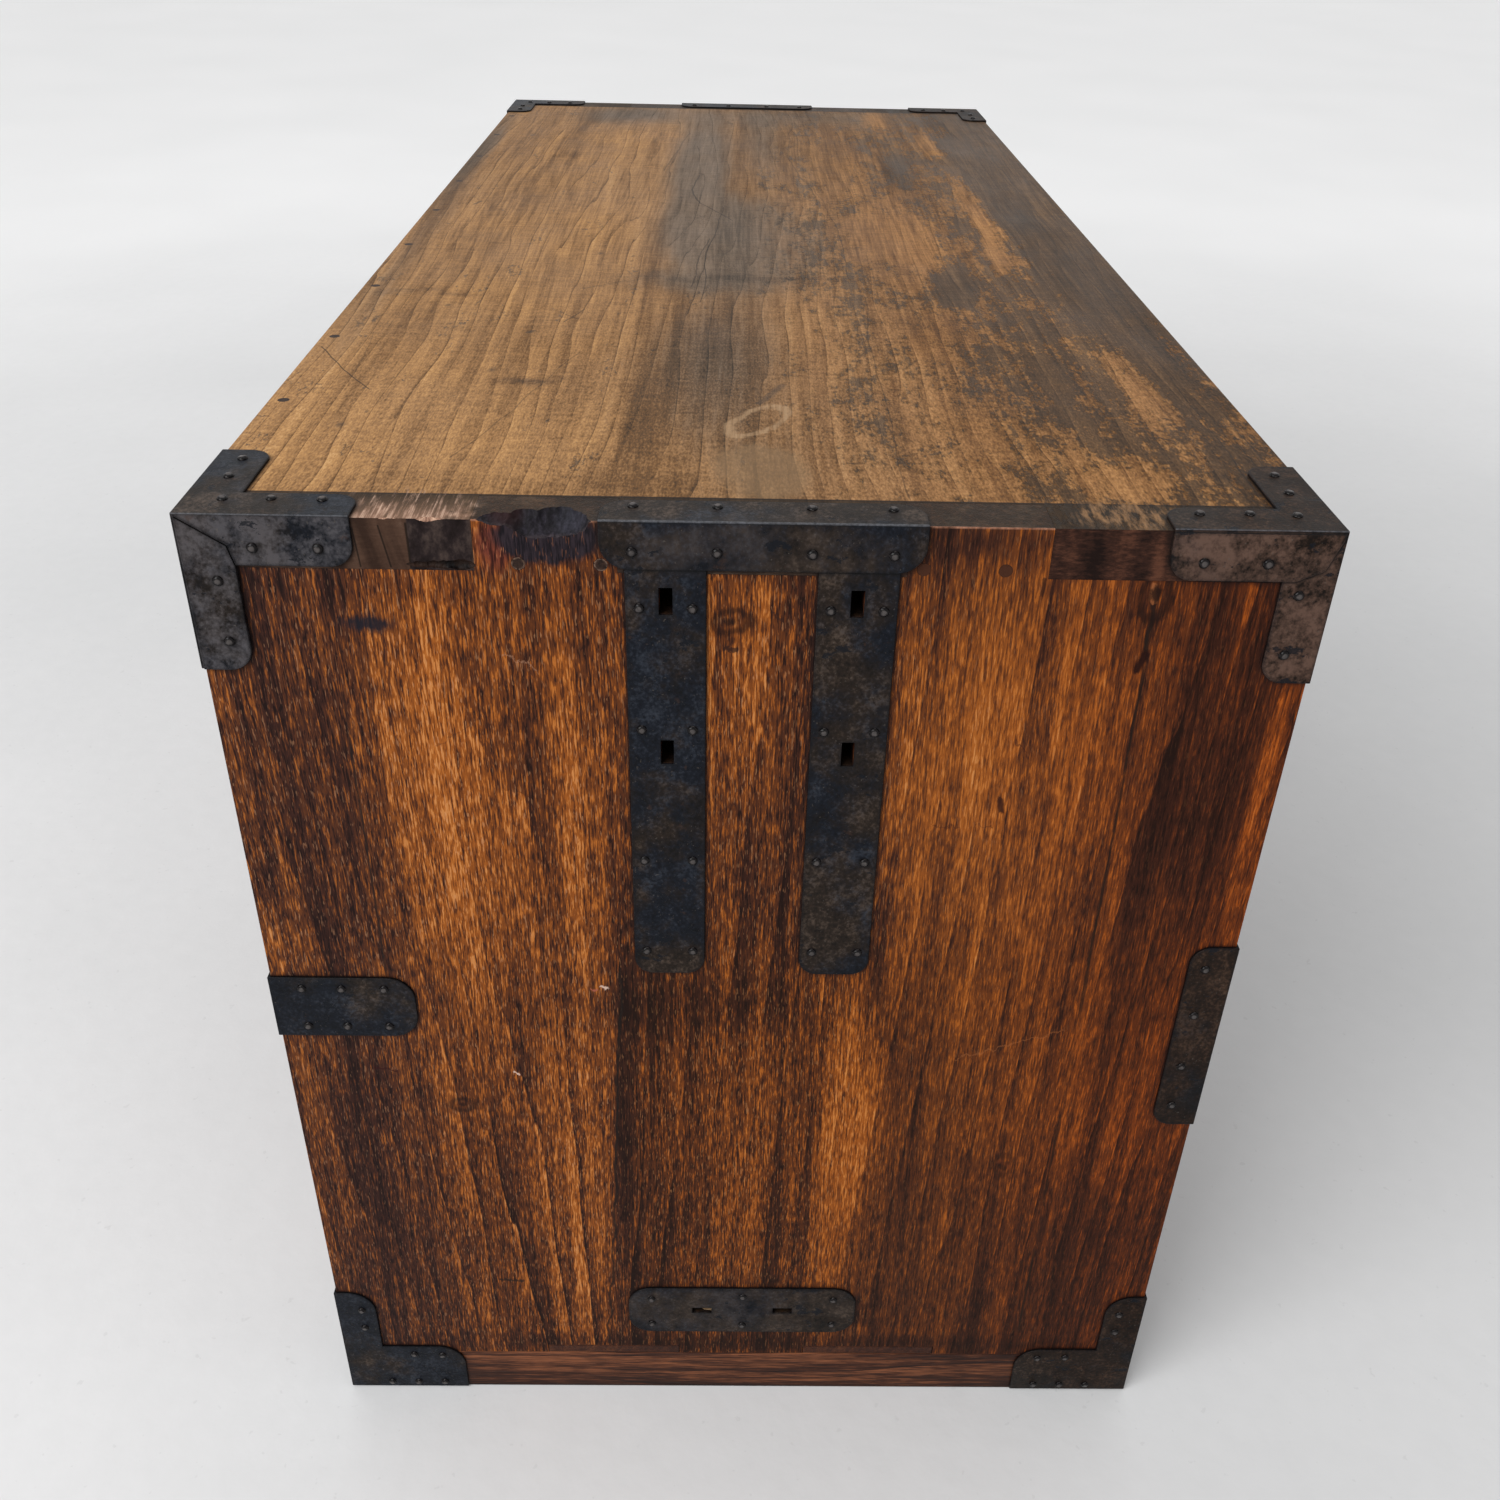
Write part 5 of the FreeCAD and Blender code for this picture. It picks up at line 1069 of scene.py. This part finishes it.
def forged_heads(node, name, chance):
    """Rounded, slightly uneven heads in the places of a node's plain ones."""
    shape = bmesh.new()
    for corners in shells(nodes[node].data):
        low = Vector([min(c[i] for c in corners) for i in range(3)])
        high = Vector([max(c[i] for c in corners) for i in range(3)])
        size = high - low
        up = min(range(3), key=lambda i: size[i])
        one, two = [i for i in range(3) if i != up]
        middle = (low + high) / 2
        spread = {}
        for side in (low[up], high[up]):
            near = [c for c in corners if abs(c[up] - side) < 0.1 * MM]
            spread[side] = max(abs(c[one] - middle[one]) for c in near)
        base = max(spread, key=spread.get)
        rise = (low[up] + high[up]) - 2 * base
        radius = min(size[one], size[two]) / 2
        turn, lean_one, lean_two = (chance.uniform(-1, 1) for _ in range(3))
        rings = []
        for reach, level in DOME:
            ring = []
            for k in range(DOME_SIDES):
                angle = 2 * math.pi * k / DOME_SIDES
                uneven = 0.965 + 0.035 * math.sin(3 * angle + 6 * turn)
                place = Vector()
                sink = 0.1 * level * (1 + lean_one * math.cos(angle) + lean_two * math.sin(angle))
                place[one] = middle[one] + radius * reach * uneven * math.cos(angle)
                place[two] = middle[two] + radius * reach * uneven * math.sin(angle)
                place[up] = base + rise * level * (1 - max(0.0, sink))
                ring.append(shape.verts.new(place))
            rings.append(ring)
        join_rings(shape, rings)
        shape.faces.new(rings[-1])
        shape.faces.new(reversed(rings[0]))
    bmesh.ops.recalc_face_normals(shape, faces=shape.faces)
    mesh = mesh_from(shape, name)
    for polygon in mesh.polygons:
        polygon.use_smooth = True
    mesh.materials.append(nodes[node].data.materials[0])
    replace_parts(new_piece(name, mesh), node)


NAIL_SEED = 11
nail_chance = random.Random(NAIL_SEED)
forged_heads("left_end_nails", "forged_left_nails", nail_chance)
forged_heads("right_end_nails", "forged_right_nails", nail_chance)
forged_heads("carcass_nails", "forged_carcass_nails", nail_chance)


# ---- Floor, light and camera ----

NEAR_GLOW = 0.06
FAR_GLOW = 0.35
DIM_SKY = 0.5        # on the chest
BRIGHT_SKY = 0.8     # as the background


def seen_straight(tree):
    """1 for what the camera sees itself, in a shine or through glass, and 0 for other light."""
    rays = tree.nodes.new("ShaderNodeLightPath").outputs
    share = rays["Is Camera Ray"]
    for name in ("Is Glossy Ray", "Is Transmission Ray"):
        either = tree.nodes.new("ShaderNodeMath")
        either.operation = "MAXIMUM"
        tree.links.new(share, either.inputs[0])
        tree.links.new(rays[name], either.inputs[1])
        share = either.outputs[0]
    return share


def pale_floor():
    """A plain pale floor. It looks paler far off, as it does before a white wall."""
    g = Graph("pale_floor")
    cloud = g.noise(2.2, 4)
    grit = g.noise(60, 3)
    speck = g.noise(190, 2, shift=2.0).step(0.7, 0.76)
    tone = 0.5 + cloud.swing(0.9) + grit.swing(0.25)
    g.colour = g.ramp(tone, (0.1, 0.595, 0.6, 0.605), (0.9, 0.72, 0.72, 0.725))
    g.paint(speck * 0.25, (0.45, 0.45, 0.45))
    glow = g.length(g.place).step(0.5, 3.0) * FAR_GLOW + NEAR_GLOW
    glow = Field(g, seen_straight(g.tree)) * glow
    g.feed(g.shader.inputs["Emission Color"], (1, 1, 1))
    g.feed(g.shader.inputs["Emission Strength"], glow)
    return g.finish(0.75 + grit.swing(0.1), g.bump(grit, 0.4 * MM), gloss=0.25)


FLOOR_HALF = 20.0
floor_mesh = bpy.data.meshes.new("floor")
corners = [(x * FLOOR_HALF, y * FLOOR_HALF, 0) for x, y in ((-1, -1), (1, -1), (1, 1), (-1, 1))]
floor_mesh.from_pydata(corners, [], [(0, 1, 2, 3)])
floor_mesh.materials.append(pale_floor())
floor = add_object("floor", floor_mesh)


def lamp(name, place, target, size, watts):
    data = bpy.data.lights.new(name, "AREA")
    data.shape = "SQUARE"
    data.size = size
    data.energy = watts
    light = add_object(name, data)
    light.location = place
    aim = Vector(target) - Vector(place)
    light.rotation_euler = aim.to_track_quat("-Z", "Y").to_euler()


CHEST_MIDDLE = (-0.1, 0.0, 0.3)
lamp("key", (-1.9, 1.6, 2.1), CHEST_MIDDLE, 1.8, 66)
lamp("overhead", (0.3, 0.2, 2.8), CHEST_MIDDLE, 2.6, 16)

world = bpy.data.worlds.new("studio")
bpy.context.scene.world = world
world.use_nodes = True
sky = world.node_tree.nodes["Background"]
strength = world.node_tree.nodes.new("ShaderNodeMapRange")
strength.inputs["To Min"].default_value = DIM_SKY
strength.inputs["To Max"].default_value = BRIGHT_SKY
links = world.node_tree.links
links.new(seen_straight(world.node_tree), strength.inputs["Value"])
links.new(strength.outputs["Result"], sky.inputs["Strength"])
sky.inputs["Color"].default_value = (1, 1, 1, 1)

CAMERA_PLACE = Vector((-0.9524, 0.01324, 0.71739))
CAMERA_RIGHT = Vector((-0.00833, -0.99975, 0.0206))
CAMERA_UP = Vector((0.53651, 0.01291, 0.8438))
CAMERA_BACK = Vector((-0.84385, 0.01808, 0.53627))
camera_data = bpy.data.cameras.new("camera")
camera_data.lens = 34.443
camera_data.sensor_width = 36.0
camera_data.clip_start = 0.01
camera = add_object("camera", camera_data)
turn = Matrix((CAMERA_RIGHT, CAMERA_UP, CAMERA_BACK)).transposed().to_4x4()
camera.matrix_world = Matrix.Translation(CAMERA_PLACE) @ turn
bpy.context.scene.camera = camera
bpy.context.scene.view_settings.view_transform = "Standard"
